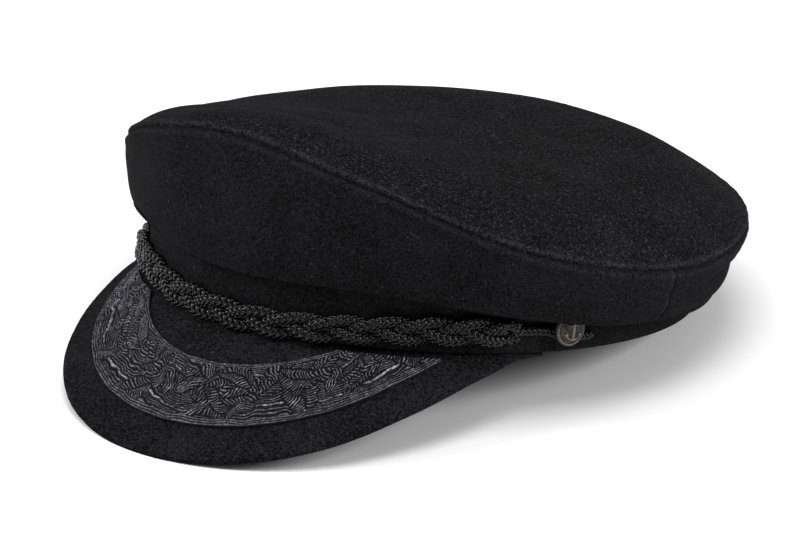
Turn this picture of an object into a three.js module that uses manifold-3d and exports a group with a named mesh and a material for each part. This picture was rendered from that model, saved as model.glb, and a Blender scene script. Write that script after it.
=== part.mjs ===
// Breton fisherman cap in black wool: a wide soft crown that overhangs a stiff headband, a sloping peak
// with an inset lace band, and a plaited cord held by two small anchor buttons.
//
// The cap is drawn upright about its own axes: the lower edge of the headband lies in z = 0, the peak
// points to -Y and the wearer's left is +X. It is then tipped back onto the table, where it rests on
// the front of the peak's rim and on the back of the headband. Lengths are in millimetres, angles in
// degrees. An angle round the head is 0 at the front, 90 on the wearer's left and 180 at the back.

import * as THREE from 'three';
import { mergeVertices } from 'three/addons/utils/BufferGeometryUtils.js';
import Module from 'manifold-3d';

const wasm = await Module();
wasm.setup();

// Headband
const HEAD_LENGTH = 207; // outside, front to back
const HEAD_WIDTH = 175.7; // outside, side to side
const BAND_HEIGHT = 24;
const BAND_WALL = 2.6;
const BAND_EDGE = 0.7; // bevel of the folded edges

// Crown
const CLOTH = 2; // wool and lining together
const TOP_LENGTH = 216.5; // top seam, front to back
const TOP_WIDTH = 211.2; // top seam, side to side
const TOP_SETBACK = 1.7; // centre of the top seam behind the centre of the headband
const FRONT_HEIGHT = 61.6; // top seam above the headband's lower edge, at the front
const CENTRE_HEIGHT = 54.4; // middle of the top panel above the headband's lower edge
const PILLOW = 17.3; // swell of the top panel above its seam
const PILLOW_SQUARENESS = 6.3; // power of the swell: flat in the middle, steep beside the seam
const PILLOW_SHOULDER = 0.8; // under 1 makes it steeper still right at the seam
const SEAM_EASE = 2; // power that carries the seam's rise and fall into the top panel
const MITRE = 0.42; // drop of the wall's inner edge at the top seam, in cloth thicknesses
const HEM_HEIGHT = 19.5; // lowest point of the overhanging side above the headband's lower edge
const HEM_REACH = 10; // the same point outside the headband
const FULLNESS = 4; // swell of the side panels outside a straight line from seam to hem
const SIDE_SEAM_ANGLE = 88; // where the front and back side panels meet

// Peak
const PEAK_DEPTH = 55; // along its slope at the front
const PEAK_HALF_ANGLE = 68.2; // round the headband, from the front to each corner
const PEAK_WALL = 2.6; // at the front; the corners are thinner
const PEAK_SLOPE = 42.6; // below level at the front
const PEAK_SLOPE_EASE = 13.6; // less slope at the corners
const PEAK_EDGE = 0.8; // rounding of the rim

// Lace band on the peak
const LACE_MARGIN = 13.5; // plain wool left outside the lace
const LACE_WIDTH = 25;
const LACE_THICK = 0.9;

// Plaited cord
const CORD = 2.9; // diameter of each of the three cords
const PLAIT_PITCH = 45; // length in which a cord crosses over and comes back
const PLAIT_HALF_ANGLE = 59; // round the headband, from the front to each end
const PLAIT_HEIGHT = 8; // middle of the plait above the headband's lower edge, at its ends
const PLAIT_FLATNESS = 0.66; // the plait is pressed against the headband
const LOOP_ANGLE = 3; // round the headband, taken up by the loop at each end

// End cords and buttons
const END_CORD = 2.6; // diameter of the thin cord that runs to the button
const END_CORD_DROP = 0.35; // where it starts to fall, as a share of the way to the button
const END_CORD_TAIL = 0.7; // how far it runs on past the button, as a share of the same way
const BUTTON = 12; // diameter
const BUTTON_THICK = 1.6; // at the edge
const BUTTON_DOME = 1.4;
const BUTTON_ANGLE = 71.4;
const BUTTON_HEIGHT = 8.2; // middle of the button above the headband's lower edge
const SHANK = 2.6; // diameter of the sewn shank behind the button
const RELIEF = 0.4; // height of the anchor above the button's dome

// Clearances and the table
const GAP = 0.3; // between pieces that touch
const PRESS = 0.8; // how far cloth is flattened where it rests on the table

// Facets
const STATIONS = 60; // sections round the head
const SIDE_ROWS = 8; // rows from the top seam to the hem
const TUCK_ROWS = 2; // rows from the hem to the headband
const TOP_ROWS = 8;
const TOP_CROWDING = 1.6; // power that draws those rows towards the top seam
const PEAK_STATIONS = 36;
const PEAK_ROWS = 5;
const CORD_SIDES = 6;
const STEPS_PER_PITCH = 14;
const LOOP_STEPS = 8;
const END_CORD_STEPS = 10;

// Shape of the crown round the head, mirrored left to right. seam is a share of FRONT_HEIGHT, hem of
// HEM_HEIGHT, reach of HEM_REACH. upper, middle and lower are the swell of the side a quarter, a half
// and three quarters of the way from seam to hem, as shares of FULLNESS: the dip in the middle column
// is the fold that runs round the back.
const CROWN_SECTIONS = [
    { angle: 0, seam: 1.0, hem: 0.94, reach: 0.38, upper: 0.4, middle: 0.65, lower: 0.6 },
    { angle: 30, seam: 0.861, hem: 0.98, reach: 0.42, upper: 0.4, middle: 0.55, lower: 0.45 },
    { angle: 60, seam: 0.593, hem: 0.72, reach: 0.72, upper: 0.4, middle: 0.5, lower: 0.45 },
    { angle: 90, seam: 0.47, hem: 0.47, reach: 1.0, upper: 0.55, middle: 0.75, lower: 0.7 },
    { angle: 120, seam: 0.52, hem: 0.33, reach: 0.58, upper: 0.4, middle: 0.1, lower: 0.4 },
    { angle: 150, seam: 0.562, hem: 0.27, reach: 0.46, upper: 0.35, middle: -0.4, lower: 0.3 },
    { angle: 180, seam: 0.563, hem: 0.26, reach: 0.48, upper: 0.35, middle: -0.15, lower: 0.3 },
];

// Outline of the peak at even steps from the front to a corner: how deep it is along its slope, as a
// share of PEAK_DEPTH, and its thickness, as a share of PEAK_WALL. The corners run in under the headband.
const PEAK_OUTLINE = [
    { part: 0, depth: 1.0, wall: 1.0 },
    { part: 0.2, depth: 0.93, wall: 1.0 },
    { part: 0.4, depth: 0.73, wall: 1.0 },
    { part: 0.6, depth: 0.43, wall: 1.0 },
    { part: 0.8, depth: 0.15, wall: 0.85 },
    { part: 1, depth: -0.02, wall: 0.5 },
];

// Height of the plait at even steps from its right end to its left end, as a share of PLAIT_HEIGHT. It
// dips at the front, where it lies in the corner between the headband and the peak.
const PLAIT_ROUTE = [
    { part: 0, height: 1.0 },
    { part: 0.125, height: 1.0 },
    { part: 0.25, height: 0.86 },
    { part: 0.375, height: 0.52 },
    { part: 0.5, height: 0.4 },
    { part: 0.625, height: 0.48 },
    { part: 0.75, height: 0.74 },
    { part: 0.875, height: 0.98 },
    { part: 1, height: 1.0 },
];

const halfSeamGap = 0.55 * GAP; // either side of the top seam's slanting joint

const UP = new THREE.Vector3(0, 0, 1);
const radians = THREE.MathUtils.degToRad;
const lerp = THREE.MathUtils.lerp;

// Smooth value at a place between evenly spaced rows, mirrored beyond the first row and the last.
function smoothColumn(rows, column, place) {
    const last = rows.length - 1;
    const index = Math.min(Math.floor(place), last - 1);
    const at = (i) => {
        const mirrored = Math.abs(i);
        return rows[mirrored > last ? 2 * last - mirrored : mirrored][column];
    };
    const [before, from, to, after] = [index - 1, index, index + 1, index + 2].map(at);
    const t = place - index;
    const bend = 2 * before - 5 * from + 4 * to - after;
    const twist = 3 * (from - to) + after - before;
    return from + 0.5 * t * (to - before + t * (bend + t * twist));
}

function crownColumn(column, angle) {
    const turn = Math.abs(THREE.MathUtils.euclideanModulo(angle + 180, 360) - 180);
    return smoothColumn(CROWN_SECTIONS, column, turn / CROWN_SECTIONS[1].angle);
}

function peakColumn(column, part) {
    const place = Math.abs(part) * (PEAK_OUTLINE.length - 1);
    return smoothColumn(PEAK_OUTLINE, column, place);
}

const peakDepth = (part) => PEAK_DEPTH * peakColumn('depth', part);

// Point a given reach outside the headband's outer face, at a height above its lower edge.
function around(angle, reach, height) {
    const turn = radians(angle);
    const x = (HEAD_WIDTH / 2) * Math.sin(turn);
    const y = (-HEAD_LENGTH / 2) * Math.cos(turn);
    const out = outward(angle);
    return new THREE.Vector3(x + out.x * reach, y + out.y * reach, height);
}

function outward(angle) {
    const turn = radians(angle);
    return new THREE.Vector3(Math.sin(turn) / HEAD_WIDTH, -Math.cos(turn) / HEAD_LENGTH, 0).normalize();
}

// Reach of the top seam: where the headband's outward line meets the oval of the seam.
function seamReach(angle) {
    const start = around(angle, 0, 0);
    const out = outward(angle);
    const px = start.x / (TOP_WIDTH / 2);
    const py = (start.y - TOP_SETBACK) / (TOP_LENGTH / 2);
    const dx = out.x / (TOP_WIDTH / 2);
    const dy = out.y / (TOP_LENGTH / 2);
    const square = dx * dx + dy * dy;
    const along = px * dx + py * dy;
    const rest = px * px + py * py - 1;
    return (-along + Math.sqrt(along * along - square * rest)) / square;
}

const seamHeight = (angle) => FRONT_HEIGHT * crownColumn('seam', angle);

// Closed body from triangles of points, with the faces turned outwards.
function closedBody(triangles) {
    const flat = triangles.filter(([a, b, c]) => {
        const area = b.clone().sub(a).cross(c.clone().sub(a)).length();
        return area > 1e-7;
    });
    const volume = flat.reduce((sum, [a, b, c]) => sum + a.dot(b.clone().cross(c)), 0);
    const facing = volume > 0 ? flat : flat.map(([a, b, c]) => [a, c, b]);
    const values = facing.flat().flatMap((point) => [point.x, point.y, point.z]);
    const geometry = new THREE.BufferGeometry();
    geometry.setAttribute('position', new THREE.Float32BufferAttribute(values, 3));
    const merged = mergeVertices(geometry, 1e-4);
    merged.computeVertexNormals();
    return merged;
}

const quad = (a, b, c, d) => [[a, b, c], [a, c, d]];

// Wall between two faces, each a list of stations with a row of points. A ring joins its last station
// to its first; an open wall is closed at both ends.
function wall(outer, inner, ring) {
    const stations = outer.length;
    const rows = outer[0].length;
    const spans = ring ? stations : stations - 1;
    const triangles = [];
    for (let i = 0; i < spans; i++) {
        const k = (i + 1) % stations;
        for (let j = 0; j < rows - 1; j++) {
            triangles.push(...quad(outer[i][j], outer[k][j], outer[k][j + 1], outer[i][j + 1]));
            triangles.push(...quad(inner[i][j], inner[i][j + 1], inner[k][j + 1], inner[k][j]));
        }
        triangles.push(...quad(outer[i][0], inner[i][0], inner[k][0], outer[k][0]));
        const e = rows - 1;
        triangles.push(...quad(outer[i][e], outer[k][e], inner[k][e], inner[i][e]));
    }
    if (!ring) {
        const z = stations - 1;
        for (let j = 0; j < rows - 1; j++) {
            triangles.push(...quad(outer[0][j], outer[0][j + 1], inner[0][j + 1], inner[0][j]));
            triangles.push(...quad(outer[z][j], inner[z][j], inner[z][j + 1], outer[z][j + 1]));
        }
    }
    return closedBody(triangles);
}

function spread(from, to, steps) {
    return Array.from({ length: steps + 1 }, (_, i) => lerp(from, to, i / steps));
}

// Points of a profile in (reach, height), moved by a wall thickness to its inner side.
function innerProfile(profile, thickness) {
    return profile.map((point, i) => {
        const before = profile[Math.max(i - 1, 0)];
        const after = profile[Math.min(i + 1, profile.length - 1)];
        const first = point.clone().sub(before).normalize();
        const second = after.clone().sub(point).normalize();
        const along = first.clone().add(second).normalize();
        const side = new THREE.Vector2(along.y, -along.x);
        const corner = i === 0 || i === profile.length - 1 ? 1 : Math.max(along.dot(second), 0.75);
        return point.clone().addScaledVector(side, thickness / corner);
    });
}

// Outer profile of a side panel: down from the top seam, round the hem, up behind it along the
// headband and over the headband's top edge.
function sideProfile(angle) {
    const seam = new THREE.Vector2(seamReach(angle), seamHeight(angle));
    const hem = new THREE.Vector2(
        HEM_REACH * crownColumn('reach', angle),
        HEM_HEIGHT * crownColumn('hem', angle),
    );
    const swell = (column, part) => {
        const point = seam.clone().lerp(hem, part);
        point.x += FULLNESS * crownColumn(column, angle);
        return point;
    };
    const turn = Math.max((hem.x - GAP) / 2, CLOTH / 2);
    const behind = new THREE.Vector2(GAP, hem.y + 2 * turn);
    const belly = new THREE.SplineCurve([
        seam,
        swell('upper', 0.25),
        swell('middle', 0.5),
        swell('lower', 0.75),
        hem,
        behind,
    ]);
    const toHem = spread(0, 0.8, SIDE_ROWS);
    const toBand = spread(0.8, 1, TUCK_ROWS).slice(1);
    return [
        ...[...toHem, ...toBand].map((place) => belly.getPoint(place)),
        new THREE.Vector2(GAP, BAND_HEIGHT + GAP),
        new THREE.Vector2(-BAND_WALL, BAND_HEIGHT + GAP),
    ];
}

// Inner face of the same wall. Its two sides meet, but never cross, in the sharp turn at the hem.
function insideProfile(profile) {
    const inside = innerProfile(profile, CLOTH);
    inside[0].set(profile[0].x - CLOTH, profile[0].y - MITRE * CLOTH);
    const fold = inside[SIDE_ROWS].x;
    return inside.map((point, row) => {
        const limit = row < SIDE_ROWS ? Math.max : Math.min;
        return new THREE.Vector2(limit(point.x, fold), point.y);
    });
}

function sidePanel(from, to) {
    const outer = [];
    const inner = [];
    for (const angle of spread(from, to, STATIONS / 2)) {
        const profile = sideProfile(angle);
        const inside = insideProfile(profile);
        profile[0].y -= halfSeamGap;
        inside[0].y -= halfSeamGap;
        outer.push(profile.map((point) => around(angle, point.x, point.y)));
        inner.push(inside.map((point) => around(angle, point.x, point.y)));
    }
    return wall(outer, inner, false);
}

// Top panel: a pillow between its middle and the top seam.
function topPanel() {
    const middle = new THREE.Vector3(0, TOP_SETBACK, CENTRE_HEIGHT - PILLOW);
    const face = (angle, depth, mitre) => {
        const seam = around(angle, seamReach(angle) - depth, seamHeight(angle) - mitre);
        const towards = middle.clone().sub(seam).setZ(0).normalize().add(UP).normalize();
        const edge = seam.addScaledVector(towards, halfSeamGap);
        const floor = middle.z - depth;
        return spread(0, 1, TOP_ROWS).map((step) => {
            const part = 1 - step ** TOP_CROWDING;
            const point = middle.clone().lerp(edge, part);
            const base = lerp(floor, edge.z, part ** SEAM_EASE);
            point.z = base + PILLOW * (1 - part ** PILLOW_SQUARENESS) ** PILLOW_SHOULDER;
            return point;
        });
    };
    const angles = spread(-180, 180, STATIONS).slice(1);
    const outer = angles.map((angle) => face(angle, 0, 0));
    const inner = angles.map((angle) => face(angle, CLOTH, MITRE * CLOTH));
    return wall(outer, inner, true);
}

function headband() {
    const outerSide = [
        [-BAND_EDGE, BAND_HEIGHT],
        [0, BAND_HEIGHT - BAND_EDGE],
        [0, BAND_EDGE],
        [-BAND_EDGE, 0],
    ];
    const innerSide = [
        [-BAND_WALL + BAND_EDGE, BAND_HEIGHT],
        [-BAND_WALL, BAND_HEIGHT - BAND_EDGE],
        [-BAND_WALL, BAND_EDGE],
        [-BAND_WALL + BAND_EDGE, 0],
    ];
    const angles = spread(-180, 180, STATIONS).slice(1);
    const outer = angles.map((angle) => outerSide.map(([reach, height]) => around(angle, reach, height)));
    const inner = angles.map((angle) => innerSide.map(([reach, height]) => around(angle, reach, height)));
    return wall(outer, inner, true);
}

// Point on the peak, a distance down its slope from the headband and a lift above its upper face.
function onPeak(part, distance, lift) {
    const slope = distance > 0 ? radians(PEAK_SLOPE - PEAK_SLOPE_EASE * part * part) : 0;
    const reach = distance * Math.cos(slope) + lift * Math.sin(slope);
    const height = -GAP - distance * Math.sin(slope) + lift * Math.cos(slope);
    return around(PEAK_HALF_ANGLE * part, reach, height);
}

// Peak: a root that lies under the headband, then a sheet that slopes down to a rounded rim.
function peak() {
    const outer = [];
    const inner = [];
    for (const part of spread(-1, 1, PEAK_STATIONS)) {
        const depth = peakDepth(part);
        const thick = PEAK_WALL * peakColumn('wall', part);
        const edge = Math.min(PEAK_EDGE, thick / 4);
        const rows = spread(Math.min(0, depth - 2 * edge), depth - edge, PEAK_ROWS);
        const upper = rows.map((distance) => onPeak(part, distance, 0));
        const lower = rows.map((distance) => onPeak(part, distance, -thick));
        outer.push([onPeak(part, -BAND_WALL, 0), ...upper, onPeak(part, depth, -edge)]);
        inner.push([onPeak(part, -BAND_WALL, -thick), ...lower, onPeak(part, depth, edge - thick)]);
    }
    return wall(outer, inner, false);
}

// Lace band: follows the rim a margin inside it and runs out against the headband at both ends.
function laceBand() {
    const root = BAND_WALL; // starts clear of the headband's edge
    const shortest = root + LACE_MARGIN + LACE_THICK;
    const parts = spread(0, 1, 400);
    const end = parts.filter((part) => peakDepth(part) > shortest).pop();
    const outer = [];
    const inner = [];
    for (const part of spread(-end, end, PEAK_STATIONS)) {
        const far = peakDepth(part) - LACE_MARGIN;
        const near = Math.max(far - LACE_WIDTH, root);
        const rows = spread(near, far, 2);
        outer.push(rows.map((distance) => onPeak(part, distance, GAP + LACE_THICK)));
        inner.push(rows.map((distance) => onPeak(part, distance, GAP)));
    }
    return wall(outer, inner, false);
}

// Plait of three round cords. It is drawn straight along X, with Y up the headband and Z away from it,
// and then laid along its route. Each cord swings up and down by swing, and towards and away from the
// headband by weave, so that it passes over one neighbour and under the other.
const swing = 0.95 * (CORD + GAP);
const weave = 0.7 * (CORD + GAP);
const plaitReach = GAP + PLAIT_FLATNESS * (weave + CORD / 2);

function plaitHeight(part) {
    return PLAIT_HEIGHT * smoothColumn(PLAIT_ROUTE, 'height', part * (PLAIT_ROUTE.length - 1));
}

const plaitRoute = new THREE.CatmullRomCurve3(
    spread(0, 1, 24).map((part) =>
        around(lerp(-PLAIT_HALF_ANGLE, PLAIT_HALF_ANGLE, part), plaitReach, plaitHeight(part)),
    ),
);
const plaitLength = plaitRoute.getLength();
const crossings = Math.round((2 * plaitLength) / PLAIT_PITCH); // each cord crosses the middle so often

class PlaitedCord extends THREE.Curve {
    constructor(order) {
        super();
        this.order = order;
    }

    getPoint(t, target = new THREE.Vector3()) {
        const phase = Math.PI * (crossings * t + (2 * this.order) / 3);
        return target.set(plaitLength * t, swing * Math.sin(phase), weave * Math.sin(2 * phase));
    }
}

function tube(curve, diameter, steps) {
    const round = new THREE.Shape();
    const corners = spread(0, 2 * Math.PI, CORD_SIDES).slice(1);
    const radius = diameter / 2;
    round.setFromPoints(
        corners.map((turn) => new THREE.Vector2(radius * Math.cos(turn), radius * Math.sin(turn))),
    );
    return new THREE.ExtrudeGeometry(round, { steps, extrudePath: curve, curveSegments: 1 });
}

// Straight work laid along the plait's route and pressed against the headband.
function laid(geometry) {
    const place = geometry.attributes.position;
    for (let i = 0; i < place.count; i++) {
        const along = THREE.MathUtils.clamp(place.getX(i), 0, plaitLength);
        const tangent = plaitRoute.getTangentAt(along / plaitLength);
        const out = tangent.clone().cross(UP).normalize();
        const point = plaitRoute.getPointAt(along / plaitLength);
        point.addScaledVector(tangent, place.getX(i) - along);
        point.addScaledVector(UP, place.getY(i));
        point.addScaledVector(out, PLAIT_FLATNESS * place.getZ(i));
        place.setXYZ(i, point.x, point.y, point.z);
    }
    return geometry;
}

function plaitedCord(order) {
    const steps = Math.round((STEPS_PER_PITCH * crossings) / 2);
    return laid(tube(new PlaitedCord(order), CORD, steps));
}

// Half ring of the same cord that turns the upper strand into the lower one at an end of the plait.
function plaitLoop(side) {
    const start = side > 0 ? plaitLength + CORD / 3 : -CORD / 3;
    const end = new PlaitedCord(1).getPoint(side > 0 ? 1 : 0);
    const turn = new THREE.CatmullRomCurve3(
        spread(-90, 90, 6).map((angle) => {
            const rise = Math.sin(radians(angle));
            const run = side * Math.abs(end.y) * Math.cos(radians(angle));
            return new THREE.Vector3(start + run, end.y * rise, end.z * rise);
        }),
    );
    return laid(tube(turn, CORD, LOOP_STEPS));
}

// Thin cord from the loop at the end of the plait, under the button's shank, to its own end.
function endCord(side) {
    const reach = GAP + END_CORD / 2;
    const clear = (SHANK + END_CORD) / 2 + GAP;
    const start = PLAIT_HALF_ANGLE + LOOP_ANGLE;
    const past = BUTTON_ANGLE - start;
    const low = BUTTON_HEIGHT - clear;
    const points = [
        around(side * start, reach, PLAIT_HEIGHT),
        around(side * lerp(start, BUTTON_ANGLE, END_CORD_DROP), reach, PLAIT_HEIGHT),
        around(side * BUTTON_ANGLE, reach, low),
        around(side * (BUTTON_ANGLE + END_CORD_TAIL * past), reach, low - END_CORD / 4),
    ];
    return tube(new THREE.CatmullRomCurve3(points), END_CORD, END_CORD_STEPS);
}

// Solid for joining, from any closed geometry.
function solid(geometry) {
    const bare = geometry.clone();
    for (const name of ['normal', 'uv']) bare.deleteAttribute(name);
    const merged = mergeVertices(bare, 1e-5);
    const mesh = new wasm.Mesh({
        numProp: 3,
        vertProperties: new Float32Array(merged.attributes.position.array),
        triVerts: new Uint32Array(merged.index.array),
    });
    return new wasm.Manifold(mesh);
}

function fromSolid(body) {
    const mesh = body.getMesh();
    const geometry = new THREE.BufferGeometry();
    geometry.setAttribute('position', new THREE.BufferAttribute(mesh.vertProperties, 3));
    geometry.setIndex(new THREE.BufferAttribute(mesh.triVerts, 1));
    geometry.computeVertexNormals();
    return geometry;
}

// Height of the button's dome above its edge.
const domeAt = (x, y) => BUTTON_DOME * (1 - (x * x + y * y) / (BUTTON / 2) ** 2);

// Anchor in low relief: shank, stock, ring and arms, bent to the dome. Lengths follow the button.
function anchor() {
    const unit = BUTTON / 2;
    const sink = 0.5 * BUTTON_THICK;
    const deep = sink + RELIEF;
    const bar = (width, height, x, y) => {
        const box = new THREE.BoxGeometry(width * unit, height * unit, deep, 1, 3, 1);
        return box.translate(x * unit, y * unit, 0);
    };
    const arms = new THREE.Shape();
    arms.absarc(0, 0, 0.62 * unit, radians(205), radians(335), false);
    arms.absarc(0, 0, 0.42 * unit, radians(335), radians(205), true);
    const sweep = { depth: deep, bevelEnabled: false, curveSegments: 4 };
    const crescent = new THREE.ExtrudeGeometry(arms, sweep).translate(0, 0, -deep / 2);
    const ring = new THREE.TorusGeometry(0.15 * unit, 0.07 * unit, 4, 6).translate(0, 0.62 * unit, 0);
    const pieces = [bar(0.16, 1.1, 0, -0.06), bar(0.75, 0.15, 0, 0.3), crescent, ring];
    const lifted = pieces.map((piece) => {
        const place = piece.attributes.position;
        for (let i = 0; i < place.count; i++) {
            const rise = domeAt(place.getX(i), place.getY(i)) + (RELIEF - sink) / 2;
            place.setZ(i, place.getZ(i) + rise);
        }
        return solid(piece);
    });
    return lifted.reduce((sum, piece) => sum.add(piece));
}

// Button on its shank, facing +Z, with the shank's foot at the origin.
function button() {
    const back = GAP + END_CORD;
    const edge = back + BUTTON_THICK;
    const radius = BUTTON / 2;
    const dome = spread(radius, 0, 3).map((r) => new THREE.Vector2(r, edge + domeAt(r, 0)));
    const profile = [
        new THREE.Vector2(0, 0),
        new THREE.Vector2(SHANK / 2, 0),
        new THREE.Vector2(SHANK / 2, back),
        new THREE.Vector2(0.92 * radius, back),
        new THREE.Vector2(radius, back + 0.3 * BUTTON_THICK),
        ...dome,
    ];
    const turned = new THREE.LatheGeometry(profile, 18).rotateX(Math.PI / 2);
    const relief = anchor().translate([0, 0, edge]);
    return fromSolid(solid(turned).add(relief));
}

// Lowest point of a geometry once the cap is tipped back.
function lowest(geometry, tilt) {
    const place = geometry.attributes.position;
    let low = Infinity;
    for (let i = 0; i < place.count; i++) {
        const height = place.getZ(i) * Math.cos(tilt) - place.getY(i) * Math.sin(tilt);
        low = Math.min(low, height);
    }
    return low;
}

// Tilt at which the back of the headband and the rim of the peak touch the table together.
function restingTilt(band, front) {
    let [level, steep] = [0, radians(45)];
    for (let i = 0; i < 40; i++) {
        const tilt = (level + steep) / 2;
        if (lowest(front, tilt) < lowest(band, tilt)) {
            level = tilt;
        } else {
            steep = tilt;
        }
    }
    return level;
}

// Cloth below the table's top is pressed flat onto it.
function flattened(geometry, tilt, table) {
    const place = geometry.attributes.position;
    const up = new THREE.Vector3(0, -Math.sin(tilt), Math.cos(tilt));
    const point = new THREE.Vector3();
    for (let i = 0; i < place.count; i++) {
        point.fromBufferAttribute(place, i);
        const below = table - point.dot(up);
        if (below > 0) {
            point.addScaledVector(up, below);
            place.setXYZ(i, point.x, point.y, point.z);
        }
    }
    geometry.computeVertexNormals();
    return geometry;
}

const WOOL = { color: 0x18181a, roughness: 0.95, metalness: 0 };
const LACE = { color: 0x2b2a31, roughness: 0.6, metalness: 0 };
const BRAID = { color: 0x1d1d1e, roughness: 0.45, metalness: 0 };
const PEWTER = { color: 0x5c574f, roughness: 0.45, metalness: 0.9 };

const cap = new THREE.Group();

function add(name, geometry, finish) {
    const mesh = new THREE.Mesh(geometry, new THREE.MeshStandardMaterial(finish));
    mesh.name = name;
    cap.add(mesh);
    return mesh;
}

const bandShape = headband();
const peakShape = peak();
const tilt = restingTilt(bandShape, peakShape);
const table = lowest(bandShape, tilt) + PRESS;
const halfSideGap = THREE.MathUtils.radToDeg(GAP / HEAD_LENGTH);
const frontSide = SIDE_SEAM_ANGLE - halfSideGap;
const backSide = SIDE_SEAM_ANGLE + halfSideGap;

add('crown_top', topPanel(), WOOL);
add('crown_side_front', sidePanel(-frontSide, frontSide), WOOL);
add('crown_side_back', sidePanel(backSide, 360 - backSide), WOOL);
add('headband', flattened(bandShape, tilt, table), WOOL);
add('peak', flattened(peakShape, tilt, table), WOOL);
add('peak_lace', laceBand(), LACE);
for (const order of [0, 1, 2]) {
    add(`plait_cord_${order + 1}`, plaitedCord(order), BRAID);
}
for (const [name, side] of [['left', 1], ['right', -1]]) {
    add(`plait_loop_${name}`, plaitLoop(side), BRAID);
    add(`end_cord_${name}`, endCord(side), BRAID);
    const disc = add(`button_${name}`, button(), PEWTER);
    const out = outward(side * BUTTON_ANGLE);
    const along = UP.clone().cross(out);
    disc.position.copy(around(side * BUTTON_ANGLE, GAP, BUTTON_HEIGHT));
    disc.quaternion.setFromRotationMatrix(new THREE.Matrix4().makeBasis(along, UP, out));
}

// The origin is the middle of the cap's footprint, on the table.
cap.rotation.x = -tilt;
cap.updateMatrixWorld(true);
const extent = new THREE.Box3().setFromObject(cap, true);
const middle = extent.getCenter(new THREE.Vector3());
cap.position.set(-middle.x, -middle.y, -extent.min.z);

export default cap;
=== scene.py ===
"""Breton fisherman cap in black wool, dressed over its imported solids.

The cap is drawn upright, in millimetres: the headband's lower edge lies in z = 0, the peak points to -Y
and the wearer's left is +X. CapForm turns it to the way it rests, in metres. An angle round the head is
0 at the front, 90 on the wearer's left and 180 at the back.
"""

import logging
import math
from dataclasses import dataclass, field
from enum import Enum
from typing import NamedTuple

import bmesh
import bpy
import numpy as np
from mathutils import Matrix, Vector


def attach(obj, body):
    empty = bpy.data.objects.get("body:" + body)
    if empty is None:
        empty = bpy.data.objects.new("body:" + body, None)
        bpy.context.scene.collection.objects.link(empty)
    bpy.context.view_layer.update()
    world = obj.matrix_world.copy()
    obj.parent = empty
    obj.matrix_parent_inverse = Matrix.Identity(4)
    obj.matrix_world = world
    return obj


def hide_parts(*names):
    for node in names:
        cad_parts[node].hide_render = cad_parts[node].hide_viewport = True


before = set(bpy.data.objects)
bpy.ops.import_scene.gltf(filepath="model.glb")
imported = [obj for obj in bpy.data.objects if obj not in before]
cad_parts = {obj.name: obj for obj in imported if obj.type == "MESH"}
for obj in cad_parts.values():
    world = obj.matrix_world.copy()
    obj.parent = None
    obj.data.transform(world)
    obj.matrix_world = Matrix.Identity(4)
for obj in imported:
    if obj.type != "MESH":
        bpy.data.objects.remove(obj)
log = logging.getLogger("cap")

MM = 0.001
UP = np.array([0.0, 0.0, 1.0])
SAME_PLACE = 1e-7  # metres; points closer than this are merged


class Slot(Enum):
    """Material slots of the record."""

    WOOL = "wool"
    LACE = "lace"
    BRAID = "braid"
    PEWTER = "pewter"


class Side(Enum):
    """Sides of the wearer."""

    LEFT = 1
    RIGHT = -1


class Section(NamedTuple):
    """Shares of the crown's sizes at one angle round the head."""

    angle: float
    seam: float
    hem: float
    reach: float
    upper: float
    middle: float
    lower: float


CROWN_SECTIONS = (
    Section(0, 1.0, 0.94, 0.38, 0.4, 0.65, 0.6),
    Section(30, 0.861, 0.98, 0.42, 0.4, 0.55, 0.45),
    Section(60, 0.593, 0.72, 0.72, 0.4, 0.5, 0.45),
    Section(90, 0.47, 0.47, 1.0, 0.55, 0.75, 0.7),
    Section(120, 0.52, 0.33, 0.58, 0.4, 0.1, 0.4),
    Section(150, 0.562, 0.27, 0.46, 0.35, -0.4, 0.3),
    Section(180, 0.563, 0.26, 0.48, 0.35, -0.15, 0.3),
)


class Outline(NamedTuple):
    """Shares of the peak's depth and wall at one place between its front and a corner."""

    part: float
    depth: float
    wall: float


PEAK_OUTLINE = (
    Outline(0.0, 1.0, 1.0),
    Outline(0.2, 0.93, 1.0),
    Outline(0.4, 0.73, 1.0),
    Outline(0.6, 0.43, 1.0),
    Outline(0.8, 0.15, 0.85),
    Outline(1.0, -0.02, 0.5),
)

# Height of the plait as shares, at even steps from its right end to its left end.
PLAIT_HEIGHTS = (0.6, 0.78, 0.84, 0.52, 0.4, 0.48, 0.74, 0.98, 1.0)


class Fold(NamedTuple):
    """A soft fold of the top panel, from one point to another, in millimetres on the upright cap."""

    x0: float
    y0: float
    x1: float
    y1: float
    width: float
    rise: float


class Dent(NamedTuple):
    """A soft hollow or swell of the side, at an angle round the head and a part of the way down."""

    angle: float
    part: float
    spread_deg: float
    spread_part: float
    rise: float


def smooth_column(values: np.ndarray, place: np.ndarray) -> np.ndarray:
    """Reads a smooth value between evenly spaced ones, mirrored beyond both ends.

    Args:
        values: The evenly spaced values.
        place: Where to read, counted in steps from the first value.

    Returns:
        One value for each place.
    """
    last = len(values) - 1
    index = np.clip(np.floor(place).astype(int), 0, last - 1)

    def at(i: np.ndarray) -> np.ndarray:
        """Value at an index, mirrored."""
        inside = np.abs(i)
        return values[np.where(inside > last, 2 * last - inside, inside)]

    return catmull(at(index - 1), at(index), at(index + 1), at(index + 2), place - index)


def catmull(
    before: np.ndarray, start: np.ndarray, end: np.ndarray, after: np.ndarray, t: np.ndarray
) -> np.ndarray:
    """Catmull-Rom value between start and end at t from 0 to 1."""
    bend = 2 * before - 5 * start + 4 * end - after
    twist = 3 * (start - end) + after - before
    return start + 0.5 * t * (end - before + t * (bend + t * twist))


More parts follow.
